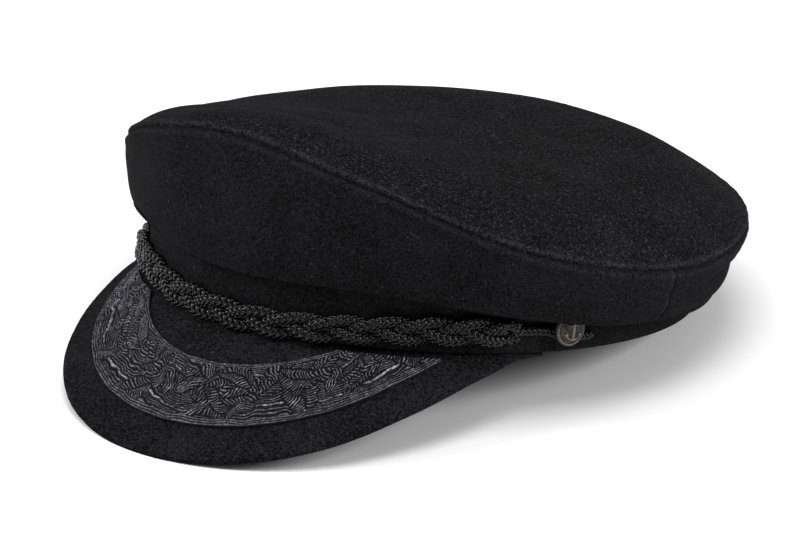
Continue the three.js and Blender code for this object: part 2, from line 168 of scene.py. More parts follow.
def spline(points: np.ndarray, t: np.ndarray) -> np.ndarray:
    """Reads a Catmull-Rom curve.

    Args:
        points: Control points, first axis along the curve.
        t: Places from 0 to 1.

    Returns:
        The points of the curve, first axis along t.
    """
    last = len(points) - 1
    place = np.asarray(t) * last
    index = np.clip(np.floor(place).astype(int), 0, last - 1)
    local = (place - index).reshape((-1,) + (1,) * (points.ndim - 1))
    ids = [np.clip(index + k, 0, last) for k in (-1, 0, 1, 2)]
    return catmull(*(points[i] for i in ids), local)


def unit(vectors: np.ndarray) -> np.ndarray:
    """Vectors at length one."""
    return vectors / np.maximum(np.linalg.norm(vectors, axis=-1, keepdims=True), 1e-9)


def hill(distance: np.ndarray, width: float) -> np.ndarray:
    """Bell curve of height one."""
    return np.exp(-((distance / width) ** 2))


def run_along(points: np.ndarray, axis: int = 0) -> np.ndarray:
    """Length along a line of points up to each of them, from 0 at the first."""
    steps = np.linalg.norm(np.diff(points, axis=axis), axis=-1)
    return np.concatenate([np.zeros_like(steps.take([0], axis)), steps.cumsum(axis)], axis)


def read_rows(at: np.ndarray, run: np.ndarray, rows: np.ndarray) -> np.ndarray:
    """Points or directions between the given ones, at distances along their run."""
    return np.stack([np.interp(at, run, rows[:, k]) for k in range(3)], -1)


@dataclass(frozen=True)
class CapForm:
    """Sizes and curves of the cap, in millimetres, and the way it rests on the table."""

    head_length: float = 207.0
    head_width: float = 175.7
    band_height: float = 24.0
    band_wall: float = 2.6
    band_edge: float = 0.7  # rounding of the headband's edges
    cloth: float = 2.0
    top_length: float = 216.5
    top_width: float = 211.2
    top_setback: float = 1.7  # of the top's middle behind the headband's
    front_height: float = 61.6
    centre_height: float = 54.4
    pillow: float = 17.3  # swell of the top panel above a cone from its seam
    pillow_squareness: float = 6.3
    pillow_shoulder: float = 0.8
    seam_ease: float = 2.0
    hem_height: float = 19.5
    hem_reach: float = 10.0
    fullness: float = 4.0  # swell of the side between its seam and its hem
    side_seam_angle: float = 88.0
    peak_depth: float = 55.0
    peak_half_angle: float = 68.2
    peak_wall: float = 2.6
    peak_slope: float = 42.6
    peak_slope_ease: float = 13.6  # less slope at the corners
    lace_margin: float = 13.5  # from the peak's rim
    lace_width: float = 25.0
    lace_thick: float = 0.9
    gap: float = 0.3  # between pieces that touch
    pressed: float = 0.05  # height of cloth that lies flat on the table
    tilt_deg: float = 9.062  # backwards
    seat: tuple[float, float, float] = (0.0, 16.787, 15.391)

    def at_rest(self, points: np.ndarray) -> np.ndarray:
        """Turns points of the upright cap into its place on the table.

        Args:
            points: Points in millimetres, last axis x, y and z.

        Returns:
            Points in metres; cloth that would sink into the table is pressed flat just above it.
        """
        turned = self.turned(points) + np.array(self.seat)
        turned[..., 2] = np.maximum(turned[..., 2], self.pressed)
        return turned * MM

    def turned(self, vectors: np.ndarray) -> np.ndarray:
        """Directions of the upright cap, turned with it."""
        tilt = math.radians(self.tilt_deg)
        x, y, z = vectors[..., 0], vectors[..., 1], vectors[..., 2]
        up = z * math.cos(tilt) - y * math.sin(tilt)
        return np.stack([x, y * math.cos(tilt) + z * math.sin(tilt), up], -1)

    def outward(self, angle: np.ndarray) -> np.ndarray:
        """Level direction away from the headband at each angle."""
        turn = np.radians(angle)
        flat = [np.sin(turn) / self.head_width, -np.cos(turn) / self.head_length, 0 * turn]
        return unit(np.stack(flat, -1))

    def around(self, angle: np.ndarray, reach: np.ndarray, height: np.ndarray) -> np.ndarray:
        """Points round the head.

        Args:
            angle: Degrees from the front.
            reach: Millimetres outside the headband.
            height: Millimetres above the headband's lower edge.

        Returns:
            The points, last axis x, y and z.
        """
        angle, reach, height = np.broadcast_arrays(*(np.asarray(v, float) for v in (angle, reach, height)))
        turn = np.radians(angle)
        x = self.head_width / 2 * np.sin(turn)
        y = -self.head_length / 2 * np.cos(turn)
        return np.stack([x, y, height], -1) + self.outward(angle) * reach[..., None]

    def crown_column(self, column: str, angle: np.ndarray) -> np.ndarray:
        """Share of a crown size at each angle."""
        values = np.array([getattr(row, column) for row in CROWN_SECTIONS], float)
        turn = np.abs(np.mod(angle + 180, 360) - 180)
        return smooth_column(values, turn / CROWN_SECTIONS[1].angle)

    def peak_column(self, column: str, part: np.ndarray) -> np.ndarray:
        """Share of a peak size at each part."""
        values = np.array([getattr(row, column) for row in PEAK_OUTLINE], float)
        return smooth_column(values, np.abs(part) * (len(PEAK_OUTLINE) - 1))

    def peak_reach(self, part: np.ndarray) -> np.ndarray:
        """Depth of the peak along its slope."""
        return self.peak_depth * self.peak_column("depth", part)

    def seam_height(self, angle: np.ndarray) -> np.ndarray:
        """Height of the top seam."""
        return self.front_height * self.crown_column("seam", angle)

    def seam_reach(self, angle: np.ndarray) -> np.ndarray:
        """How far outside the headband the top seam lies at each angle."""
        start = self.around(angle, 0.0, 0.0)
        out = self.outward(angle)
        half = np.array([self.top_width / 2, self.top_length / 2])
        p = (start[..., :2] - np.array([0.0, self.top_setback])) / half
        d = out[..., :2] / half
        square = (d * d).sum(-1)
        along = (p * d).sum(-1)
        rest = (p * p).sum(-1) - 1
        return (-along + np.sqrt(along * along - square * rest)) / square

    def on_peak(self, part: np.ndarray, distance: np.ndarray, lift: np.ndarray) -> np.ndarray:
        """Points on the peak.

        Args:
            part: -1 at the right corner, 0 at the front, 1 at the left corner.
            distance: Millimetres down its slope from the headband.
            lift: Millimetres above its upper face.

        Returns:
            The points.
        """
        slope = np.radians(self.peak_slope - self.peak_slope_ease * part * part) * (distance > 0)
        reach = distance * np.cos(slope) + lift * np.sin(slope)
        height = -self.gap - distance * np.sin(slope) + lift * np.cos(slope)
        return self.around(self.peak_half_angle * part, reach, height)


class MeshMaker:
    """Turns arrays of points into closed Blender meshes."""

    @staticmethod
    def grid_normals(points: np.ndarray, ring: bool) -> np.ndarray:
        """Normals of a sheet of stations by rows; a ring joins its last station to its first."""
        if ring:
            along = np.roll(points, -1, 0) - np.roll(points, 1, 0)
        else:
            along = np.gradient(points, axis=0)
        down = np.gradient(points, axis=1)
        return unit(np.cross(along, down))

    @staticmethod
    def loft(
        name: str, sections: np.ndarray, ring: bool, values: dict[str, np.ndarray] | None = None
    ) -> bpy.types.Object:
        """Makes a closed body from sections that are closed loops.

        Args:
            name: Name of the object.
            sections: Points in metres, stations by rows by three.
            ring: True where the last section joins the first; otherwise both ends are closed.
            values: Number for each point, by attribute name.

        Returns:
            The new object, with its place in its mesh.
        """
        stations, rows = sections.shape[:2]
        index = np.arange(stations * rows).reshape(stations, rows)
        here = index if ring else index[:-1]
        there = np.roll(index, -1, 0) if ring else index[1:]
        next_here, next_there = np.roll(here, -1, 1), np.roll(there, -1, 1)
        quads = np.stack([here, there, next_there, next_here], -1).reshape(-1, 4)
        return MeshMaker.body(name, sections.reshape(-1, 3), quads, values or {})

    @staticmethod
    def body(
        name: str, points: np.ndarray, quads: np.ndarray, values: dict[str, np.ndarray]
    ) -> bpy.types.Object:
        """Makes a smooth body with its faces outwards and its open ends filled.

        Args:
            name: Name of the object.
            points: Points in metres.
            quads: Four point numbers for each face.
            values: Number for each point, by attribute name.

        Returns:
            The new object.
        """
        a, b, c, d = (points[quads[:, k]] for k in range(4))
        volume = (a * np.cross(b, c)).sum() + (a * np.cross(c, d)).sum()
        if volume < 0:
            quads = quads[:, ::-1]
        mesh = bpy.data.meshes.new(name)
        mesh.from_pydata(points.tolist(), [], quads.tolist())
        for key, numbers in values.items():
            layer = mesh.attributes.new(key, "FLOAT", "POINT")
            layer.data.foreach_set("value", np.asarray(numbers, np.float32).ravel())
        work = bmesh.new()
        work.from_mesh(mesh)
        bmesh.ops.remove_doubles(work, verts=work.verts, dist=SAME_PLACE)
        rims = [edge for edge in work.edges if edge.is_boundary]
        bmesh.ops.holes_fill(work, edges=rims, sides=0)
        work.to_mesh(mesh)
        work.free()
        mesh.polygons.foreach_set("use_smooth", np.ones(len(mesh.polygons), bool))
        mesh.update()
        piece = bpy.data.objects.new(name, mesh)
        bpy.context.scene.collection.objects.link(piece)
        return piece


class Board:
    """A node tree with a short way to add and join nodes."""

    def __init__(self, tree: bpy.types.NodeTree) -> None:
        """Starts from an empty tree."""
        self.tree = tree
        tree.nodes.clear()

    def add(self, kind: str, inputs: dict | None = None, **settings: object) -> bpy.types.Node:
        """Adds a node.

        Args:
            kind: Blender's name of the node type.
            inputs: Value or socket for each input, by name or number.
            **settings: Settings of the node itself.

        Returns:
            The node.
        """
        node = self.tree.nodes.new(kind)
        for key, value in settings.items():
            setattr(node, key, value)
        for key, value in (inputs or {}).items():
            if isinstance(value, bpy.types.NodeSocket):
                self.tree.links.new(value, node.inputs[key])
            else:
                node.inputs[key].default_value = value
        return node

    def math(self, operation: str, first: object, second: object = 0.0) -> bpy.types.NodeSocket:
        """Result of a sum on two values."""
        return self.add("ShaderNodeMath", {0: first, 1: second}, operation=operation).outputs[0]

    def blend(self, factor: object, low: object, high: object) -> bpy.types.NodeSocket:
        """Colour between two colours, which are sockets 6 and 7 of a Mix node."""
        mix = self.add("ShaderNodeMix", {0: factor, 6: low, 7: high}, data_type="RGBA")
        return mix.outputs[2]

    def ramp(self, factor: bpy.types.NodeSocket, low: float, high: float) -> bpy.types.NodeSocket:
        """Value from 0 to 1 as the factor goes from low to high."""
        inputs = {"Value": factor, "From Min": low, "From Max": high}
        return self.add("ShaderNodeMapRange", inputs, clamp=True).outputs["Result"]

    def noise(self, scale: float, detail: float, roughness: float = 0.5) -> bpy.types.NodeSocket:
        """Noise value on the piece's own coordinates, at so many features a metre."""
        place = self.add("ShaderNodeTexCoord").outputs["Object"]
        inputs = {"Vector": place, "Scale": scale, "Detail": detail, "Roughness": roughness}
        return self.add("ShaderNodeTexNoise", inputs).outputs[0]

    def stored(self, name: str) -> bpy.types.NodeSocket:
        """Number that the points of the mesh hold under a name."""
        return self.add("ShaderNodeAttribute", attribute_name=name).outputs["Fac"]


def grey(level: float, blue: float = 1.0, red: float = 1.0) -> tuple[float, float, float, float]:
    """Colour near a grey, with its red and blue scaled."""
    return (level * red, level, level * blue, 1.0)


@dataclass(frozen=True)
class Finish:
    """A material made of nodes only."""

    rough: float = 0.9
    specular: float = 0.5
    metallic: float = 0.0
    bump: float = 0.0
    bump_depth: float = 0.1  # millimetres

    def build(self) -> bpy.types.Material:
        """Makes the material."""
        material = bpy.data.materials.new(type(self).__name__.lower())
        material.use_nodes = True
        board = Board(material.node_tree)
        shader = self.shade(board)
        board.add("ShaderNodeOutputMaterial", {"Surface": shader.outputs[0]})
        return material

    def shade(self, board: Board) -> bpy.types.Node:
        """Adds the shader and what feeds it."""
        raise NotImplementedError

    def surface(
        self, board: Board, colour: bpy.types.NodeSocket, rough: object, height: bpy.types.NodeSocket
    ) -> bpy.types.Node:
        """Adds the shader.

        Args:
            board: The material's nodes.
            colour: Colour of the surface.
            rough: Its roughness.
            height: What its bump follows.

        Returns:
            The shader.
        """
        relief = {"Height": height, "Strength": self.bump, "Distance": self.bump_depth * MM}
        return board.add("ShaderNodeBsdfPrincipled", {
            "Base Color": colour,
            "Roughness": rough,
            "Metallic": self.metallic,
            "Specular IOR Level": self.specular,
            "Normal": board.add("ShaderNodeBump", relief).outputs[0],
        })


@dataclass(frozen=True)
class MeltonWool(Finish):
    """Felted black wool cloth: fine fibres with a little pale lint, and a painted highlight on rolled and
    lapped edges.
    """

    rough: float = 0.95
    specular: float = 0.03
    bump: float = 0.6
    bump_depth: float = 0.5
    dark: float = 0.0014
    light: float = 0.0146
    lint: float = 0.04
    blue: float = 1.1
    # colour of the painted highlight on rolled seam, hem and lapped edges
    edge: float = 0.025
    fibre_scale: float = 1750.0
    felt_scale: float = 880.0
    felt_share: float = 0.3
    cloud_scale: float = 60.0
    cloud_share: float = 0.15
    coarse: float = 0.62  # roughness of the noise
    low: float = 0.46
    high: float = 0.73
    lint_scale: float = 1100.0
    lint_from: float = 0.66
    lint_fade: float = 0.14
    lint_felt: tuple[float, float] = (0.4, 0.56)  # felt that lint clings to

    def shade(self, board: Board) -> bpy.types.Node:
        """Adds the shader and what feeds it."""
        fibre = board.noise(self.fibre_scale, 3.0, self.coarse)
        felt = board.noise(self.felt_scale, 2.0, self.coarse)
        cloud = board.noise(self.cloud_scale, 3.0, self.coarse)
        speck = board.noise(self.lint_scale, 1.0, self.coarse)
        fine = board.math("MULTIPLY", fibre, 1 - self.felt_share)
        mixed = board.math("ADD", fine, board.math("MULTIPLY", felt, self.felt_share))
        clouded = board.math("ADD", mixed, board.math("MULTIPLY", cloud, self.cloud_share))
        spread = board.ramp(clouded, self.low, self.high)
        cloth = board.blend(spread, grey(self.dark, self.blue), grey(self.light, self.blue))
        # the stored worn value paints a highlight over the grain where rolled and folded edges catch the
        # light
        worn = board.math("MULTIPLY", board.stored("worn"), spread)
        cloth = board.blend(worn, cloth, grey(self.edge, self.blue))
        flecks = board.ramp(speck, self.lint_from, self.lint_from + self.lint_fade)
        clinging = board.math("MULTIPLY", flecks, board.ramp(felt, *self.lint_felt))
        colour = board.blend(clinging, cloth, grey(self.lint, self.blue))
        return self.surface(board, colour, self.rough, mixed)


@dataclass(frozen=True)
class NappedWool(MeltonWool):
    """The same cloth where its brushed nap lies flat and shows a clearer grain."""

    light: float = 0.0155
    felt_scale: float = 900.0
    felt_share: float = 0.36
    low: float = 0.495
    high: float = 0.69


@dataclass(frozen=True)
class DustedWool(NappedWool):
    """Napped cloth of the top, where pale lint gathers."""

    light: float = 0.0125
    lint: float = 0.036
    felt_scale: float = 1000.0
    felt_share: float = 0.4
    lint_from: float = 0.575


@dataclass(frozen=True)
class LaceThread(Finish):
    """Charcoal embroidery thread; its colour has painted shade between the threads and a painted cool sheen
    on their crowns.
    """

    rough: float = 0.95
    polish: float = 0.6  # less roughness on top of a thread
    specular: float = 0.24
    bump: float = 0.5
    bump_depth: float = 0.2
    # colours of the painted shade between the threads and of the painted sheen on their crowns
    valley: float = 0.0005
    ridge: float = 0.74
    blue: float = 1.24
    red: float = 1.03
    sharpness: float = 4.4
    twist_scale: float = 2300.0
    twist_range: tuple[float, float] = (0.25, 0.65)
    patch_scale: float = 330.0
    patch_range: tuple[float, float] = (0.25, 0.75)

    def shade(self, board: Board) -> bpy.types.Node:
        """Adds the shader and what feeds it."""
        twist = board.noise(self.twist_scale, 3.0, 0.6)
        patch = board.noise(self.patch_scale, 2.0)
        relief = board.stored("relief")
        # the thread relief, sharpened, blends from painted shade in the gaps to a painted cool sheen on the
        # crowns; twist and patch noise break the sheen up
        proud = board.math("POWER", relief, self.sharpness)
        uneven = board.math(
            "MULTIPLY", board.ramp(twist, *self.twist_range), board.ramp(patch, *self.patch_range)
        )
        broken = board.math("MULTIPLY", proud, uneven)
        valley, ridge = grey(self.valley, self.blue), grey(self.ridge, self.blue, self.red)
        rough = board.math("SUBTRACT", self.rough, board.math("MULTIPLY", relief, self.polish))
        return self.surface(board, board.blend(broken, valley, ridge), rough, twist)


@dataclass(frozen=True)
class BraidCord(Finish):
    """Glossy black braided cord; each stitch is a bundle of fine parallel yarns, with painted shade between
    the yarns.
    """

    rough: float = 0.13
    wear: float = 0.1  # more roughness where the cord is worn
    specular: float = 0.26
    bump: float = 0.05
    # colours between the yarns, with painted shade, and on them
    dark: float = 0.0008
    light: float = 0.0016
    red: float = 1.02
    yarns: float = 3.0
    wear_scale: float = 900.0
    wear_range: tuple[float, float] = (0.3, 0.7)

    def shade(self, board: Board) -> bpy.types.Node:
        """Adds the shader and what feeds it."""
        turn = board.math("MULTIPLY", board.stored("yarn"), 2 * math.pi * self.yarns)
        line = board.math("ADD", board.math("MULTIPLY", board.math("SINE", turn), 0.5), 0.5)
        worn = board.noise(self.wear_scale, 3.0)
        # lighter on each yarn and darker between them: painted shade between the yarns, varied by wear noise
        shade = board.math("MULTIPLY", line, board.ramp(worn, *self.wear_range))
        colour = board.blend(shade, grey(self.dark), grey(self.light, self.red))
        rough = board.math("ADD", self.rough, board.math("MULTIPLY", worn, self.wear))
        return self.surface(board, colour, rough, line)


@dataclass(frozen=True)
class Pewter(Finish):
    """Antique pewter, dark in its hollows and worn bright on what stands proud."""

    rough: float = 0.6
    polish: float = 0.25  # less roughness where it is worn
    metallic: float = 0.85
    bump: float = 0.25
    hollow: float = 0.02
    worn: float = 0.14
    red: float = 1.12
    blue: float = 0.86
    stain_scale: float = 700.0
    stain_share: float = 0.9
    wear_range: tuple[float, float] = (0.3, 1.5)

    def shade(self, board: Board) -> bpy.types.Node:
        """Adds the shader and what feeds it."""
        stain = board.noise(self.stain_scale, 4.0)
        height = board.math("ADD", board.stored("relief"), board.math("MULTIPLY", stain, self.stain_share))
        wear = board.ramp(height, *self.wear_range)
        hollow, worn = grey(self.hollow, self.blue, self.red), grey(self.worn, self.blue, self.red)
        rough = board.math("SUBTRACT", self.rough, board.math("MULTIPLY", wear, self.polish))
        return self.surface(board, board.blend(wear, hollow, worn), rough, stain)


@dataclass(frozen=True)
class PaleFloor(Finish):
    """Plain pale studio floor."""

    level: float = 0.86
    cloud: float = 1.02
    cloud_scale: float = 3.0

    def shade(self, board: Board) -> bpy.types.Node:
        """Adds the shader and what feeds it."""
        cloud = board.noise(self.cloud_scale, 2.0)
        colour = board.blend(cloud, grey(self.level), grey(self.level * self.cloud))
        return board.add("ShaderNodeBsdfPrincipled", {"Base Color": colour, "Roughness": self.rough})


def finished(piece: bpy.types.Object, material: bpy.types.Material, slot: Slot, *nodes: str) -> None:
    """Gives a piece its material and body, and hides the solids that it stands for.

    Args:
        piece: The finished piece.
        material: Its material.
        slot: The record's material slot; not used.
        *nodes: Names of the solids.
    """
    piece.data.materials.clear()
    piece.data.materials.append(material)
    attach(piece, "root")
    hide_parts(*nodes)
    triangles = sum(len(face.vertices) - 2 for face in piece.data.polygons)
    log.info("%s: %d triangles", piece.name, triangles)


@dataclass
class Crown:
    """The wide soft crown: a domed top panel and two side panels that overhang the headband."""

    form: CapForm
    stations: int = 420
    roll: float = 0.7  # swell of the cloth beside a seam
    roll_width: float = 1.7
    groove: float = 1.05  # how deep the seam draws the cloth in
    groove_width: float = 0.8
    side_roll: float = 0.8  # share of them on the side panels
    pucker: float = 0.1
    pucker_reach: float = 4.5
    worn_width: float = 0.9  # of the painted highlight along the rolled edge beside a seam
    calm_top: float = 6.0  # width beside the top seam that folds and unevenness leave alone
    calm_side: float = 2.6
    edge_rows: int = 34  # of the top panel, beside its seam
    inner_rows: int = 76
    edge_share: float = 0.09
    crowd: float = 1.5  # how much closer rows lie beside a seam
    top_thin: float = 0.8  # share of the cloth's thickness
    top_drop: float = 0.3  # of the inner face, besides that
    side_parts: tuple[float, float, float] = (0.12, 0.66, 1.0)  # parts of the profile, each with its rows
    side_rows: tuple[int, int, int] = (26, 40, 36)
    rows_past_hem: int = 16
    side_crowd: float = 0.016
    past_hem: float = 1.25  # part of the way down where dents and folds end
    fade: float = 0.25
    side_thick: float = 1.5
    hem_thick: float = 0.55
    thin_from: float = 0.85
    turn_in_thick: float = 1.1
    half_gap: float = 0.08  # degrees, between the side panels
    lap: float = 0.4  # height of the lapped edge of the side seams
    folds: tuple[Fold, ...] = (
        Fold(-84, -30, -42, -80, 17, -0.8),
        Fold(22, 98, 66, 74, 13, -1.9),
        Fold(-20, -40, 6, -8, 12, 1.0),
        Fold(-38, -72, 12, -50, 9, -1.6),
        Fold(18, -50, 52, -18, 12, 1.1),
        Fold(-55, 20, -5, 62, 20, 1.1),
        Fold(30, 30, 72, 52, 16, -0.8),
    )
    dents: tuple[Dent, ...] = (
        Dent(-6, 0.42, 11, 0.3, -1.7),
        Dent(14, 0.5, 10, 0.35, 0.8),
        Dent(40, 0.55, 16, 0.25, -0.7),
        Dent(-38, 0.5, 14, 0.3, -0.9),
        Dent(66, 0.5, 12, 0.3, 0.6),
        Dent(-70, 0.55, 14, 0.3, 0.5),
        Dent(114, 0.3, 22, 0.07, -3.0),
        Dent(111, 0.5, 22, 0.09, 0.9),
        Dent(106, 0.76, 20, 0.07, -2.8),
        Dent(104, 0.97, 18, 0.07, 1.8),
        Dent(152, 0.3, 22, 0.08, -1.6),
        Dent(152, 0.62, 24, 0.08, -1.8),
        Dent(-55, 0.97, 27, 0.15, -2.8),
        Dent(168, 0.5, 12, 0.16, -0.8),
        Dent(-132, 0.34, 30, 0.08, -1.6),
        Dent(-140, 0.6, 36, 0.08, -2.2),
        Dent(-118, 0.46, 16, 0.12, 1.0),
    )

    def uneven(self, x: np.ndarray, y: np.ndarray) -> np.ndarray:
        """Gentle unevenness of soft cloth."""
        broad = np.sin(x / 21 + 1.3) * np.sin(y / 27 + 0.4)
        fine = np.sin(x / 12 - y / 15 + 2.0) * np.sin(x / 17 + y / 9)
        return 0.4 * broad + 0.2 * fine

    def puckers(self, angle: np.ndarray, distance: np.ndarray) -> np.ndarray:
        """Small gathers that a seam leaves beside it."""
        wave = np.sin(np.radians(angle) * 83 + 1.7 * np.sin(np.radians(angle) * 9))
        wave = wave + 0.6 * np.sin(np.radians(angle) * 47 + 0.8)
        return self.pucker * wave * np.exp(-distance / self.pucker_reach)

    def seam_roll(self, distance: np.ndarray) -> np.ndarray:
        """Lift of the cloth at a distance from a seam: drawn in at the seam, rolled beside it."""
        swell = self.roll * hill(distance - self.roll_width, self.roll_width)
        return swell - self.groove * hill(distance, self.groove_width)

    def top_face(self, angle: np.ndarray, part: np.ndarray) -> np.ndarray:
        """Points of the top panel from its middle (part 0) to the seam (part 1)."""
        form = self.form
        middle = np.array([0.0, form.top_setback, form.centre_height - form.pillow])
        seam = form.around(angle, form.seam_reach(angle), form.seam_height(angle))
        part = part[..., None]
        point = middle + (seam - middle) * part
        base = middle[2] + (seam[..., 2:] - middle[2]) * part**form.seam_ease
        swell = (1 - np.minimum(part, 1.0) ** form.pillow_squareness) ** form.pillow_shoulder
        point[..., 2:] = base + form.pillow * swell
        return point

    def top_panel(self) -> bpy.types.Object:
        """Makes the domed top panel with its rolled edge and soft folds.

        Returns:
            The piece.
        """
        angle = np.linspace(-180, 180, self.stations, endpoint=False)
        near = 1 - np.linspace(0, 1, self.edge_rows) ** self.crowd * self.edge_share
        far = np.linspace(near[-1], 0, self.inner_rows)[1:]
        angles, parts = np.meshgrid(angle, np.concatenate([near, far]), indexing="ij")
        face = self.top_face(angles, parts)
        distance = run_along(face, 1)
        x, y = face[..., 0], face[..., 1]
        lift = self.seam_roll(distance) + self.puckers(angles, distance)
        loose = 1 - hill(distance, self.calm_top)
        lift += loose * (self.uneven(x, y) + sum(self.fold_lift(fold, x, y) for fold in self.folds))
        normal = MeshMaker.grid_normals(face, True)
        normal *= np.sign(normal[..., 2:])
        normal[:, -1] = UP
        outer = face + normal * lift[..., None]
        inner = face - normal * (self.form.cloth * self.top_thin) - UP * self.top_drop
        sections = np.concatenate([outer, inner[:, ::-2]], 1)
        # painted highlight along the rolled edge beside the top seam, outer face only, stored as worn
        worn = np.zeros(sections.shape[:2])
        worn[:, : distance.shape[1]] = hill(distance - 1.6, self.worn_width)
        return MeshMaker.loft("wool_crown_top", self.form.at_rest(sections), True, {"worn": worn})

    def fold_lift(self, fold: Fold, x: np.ndarray, y: np.ndarray) -> np.ndarray:
        """Rise of one fold at each point."""
        start = np.array([fold.x0, fold.y0])
        run = np.array([fold.x1, fold.y1]) - start
        offset = np.stack([x, y], -1) - start
        along = np.clip((offset @ run) / (run @ run), 0, 1)
        across = np.linalg.norm(offset - along[..., None] * run, axis=-1)
        return fold.rise * hill(across, fold.width)

    def side_profile(self, angle: np.ndarray) -> np.ndarray:
        """Outer face of the side, from the top seam round the hem and up behind it to the headband.

        Args:
            angle: Angles round the head.

        Returns:
            Points in reach and height, stations by rows by two.
        """
        form = self.form
        seam = np.stack([form.seam_reach(angle), form.seam_height(angle)], -1)
        hem_x = form.hem_reach * form.crown_column("reach", angle)
        hem = np.stack([hem_x, form.hem_height * form.crown_column("hem", angle)], -1)

        def swell(column: str, share: float) -> np.ndarray:
            """Point of the side a share of the way down."""
            point = seam + (hem - seam) * share
            point[..., 0] += form.fullness * form.crown_column(column, angle)
            return point

        turn = np.maximum((hem_x - form.gap) / 2, form.cloth / 2)
        behind = np.stack([np.full_like(turn, form.gap), hem[..., 1] + 2 * turn], -1)
        bulge = [swell("upper", 0.25), swell("middle", 0.5), swell("lower", 0.75)]
        beside, low, end = self.side_parts
        places = np.concatenate([
            np.linspace(0, 1, self.side_rows[0]) ** self.crowd * beside,
            np.linspace(beside, low, self.side_rows[1])[1:],
            np.linspace(low, end, self.side_rows[2])[1:],
        ])
        face = spline(np.stack([seam, *bulge, hem, behind]), places).transpose(1, 0, 2)
        top = form.band_height + form.gap
        back = np.stack([np.full_like(turn, form.gap), np.full_like(turn, top)], -1)
        over = np.stack([np.full_like(turn, -form.band_wall), np.full_like(turn, top)], -1)
        return np.concatenate([face, back[:, None], over[:, None]], 1)

    def side_panel(self, name: str, start: float, end: float, over: bool) -> bpy.types.Object:
        """Makes a side panel between two side seams.

        Args:
            name: Name of the piece.
            start: Angle of its first seam.
            end: Angle of its last seam.
            over: True where its edges lap over the other panel.

        Returns:
            The piece.
        """
        form = self.form
        part = np.linspace(0, 1, self.stations // 2)
        angle = start + (end - start) * (part - self.side_crowd * np.sin(2 * np.pi * part))
        profile = self.side_profile(angle)
        flat = form.around(angle[:, None], profile[..., 0], profile[..., 1])
        distance = run_along(flat, 1)
        hem_row = profile.shape[1] - self.rows_past_hem
        down = distance / distance[:, hem_row : hem_row + 1]
        edge = np.minimum(angle - start, end - angle)[:, None] * math.radians(1) * form.head_width / 2
        angles = np.broadcast_to(angle[:, None], distance.shape)
        lift = self.seam_roll(distance) * self.side_roll + self.puckers(angles, distance)
        fade = np.clip(self.past_hem - down, 0, self.fade) / self.fade
        soft = 0.7 * self.uneven(angles * 1.7, distance * 1.2) + self.dented(angles, down)
        lift += fade * (1 - hill(distance, self.calm_side)) * soft
        lift += fade * self.lapped(edge, over)
        lift *= down < self.past_hem
        normal = MeshMaker.grid_normals(flat, False)
        facing = (normal[:, 4] * form.outward(angle)).sum(-1)
        normal *= np.sign(np.median(facing))
        outer = flat + normal * lift[..., None]
        thick = np.where(down < self.thin_from, self.side_thick, self.hem_thick)[..., None]
        inner = flat + normal * np.minimum(lift, 0.0)[..., None] - normal * thick
        inner[:, -2:] = flat[:, -2:] + UP * self.turn_in_thick
        sections = np.concatenate([outer, inner[:, ::-1]], 1)
        # the worn value is a painted highlight on the rolled and lapped edges
        values = {"worn": self.worn(distance, down, edge, over)}
        return MeshMaker.loft(name, form.at_rest(sections), False, values)

    def worn(self, distance: np.ndarray, down: np.ndarray, edge: np.ndarray, over: bool) -> np.ndarray:
        """How much painted highlight a side panel's colour gets at each point, outer face first and then the
        inner one, which gets none.

        Args:
            distance: Millimetres from the top seam.
            down: Part of the way from the top seam to the hem.
            edge: Millimetres from the nearer side seam.
            over: True where the panel's edges lap over the other panel.

        Returns:
            A number for each point.
        """
        # painted highlight where the rolled seam edge, the hem's fold and a lapping edge catch the light
        seam = 0.45 * hill(distance - self.roll_width, self.worn_width)
        hem = 0.5 * hill(down - 0.98, 0.04)
        lapped = hill(edge - 0.9, 0.6) * (down < 1.0) if over else 0.0
        return np.concatenate([seam + hem + lapped, 0 * down], 1)

    def dented(self, angle: np.ndarray, down: np.ndarray) -> np.ndarray:
        """Lift of all the dents at each point."""
        total = np.zeros_like(down)
        for dent in self.dents:
            turn = np.mod(angle - dent.angle + 180, 360) - 180
            total += dent.rise * hill(turn, dent.spread_deg) * hill(down - dent.part, dent.spread_part)
        return total

    def lapped(self, edge: np.ndarray, over: bool) -> np.ndarray:
        """Lift beside a side seam: the lapping edge stands proud, the one below it is drawn in."""
        if over:
            return self.lap * hill(edge - 1.2, 1.4) - 0.5 * hill(edge, 0.35)
        return -0.6 * self.lap * hill(edge, 1.3) + 0.2 * hill(edge - 4.0, 1.8)

    def build(self, wool: bpy.types.Material, top_wool: bpy.types.Material) -> None:
        """Makes and dresses the three panels."""
        finished(self.top_panel(), top_wool, Slot.WOOL, "crown_top")
        seam, gap = self.form.side_seam_angle, self.half_gap
        front = self.side_panel("wool_side_front", -seam + gap, seam - gap, True)
        finished(front, wool, Slot.WOOL, "crown_side_front")
        back = self.side_panel("wool_side_back", seam + gap, 360 - seam - gap, False)
        finished(back, wool, Slot.WOOL, "crown_side_back")


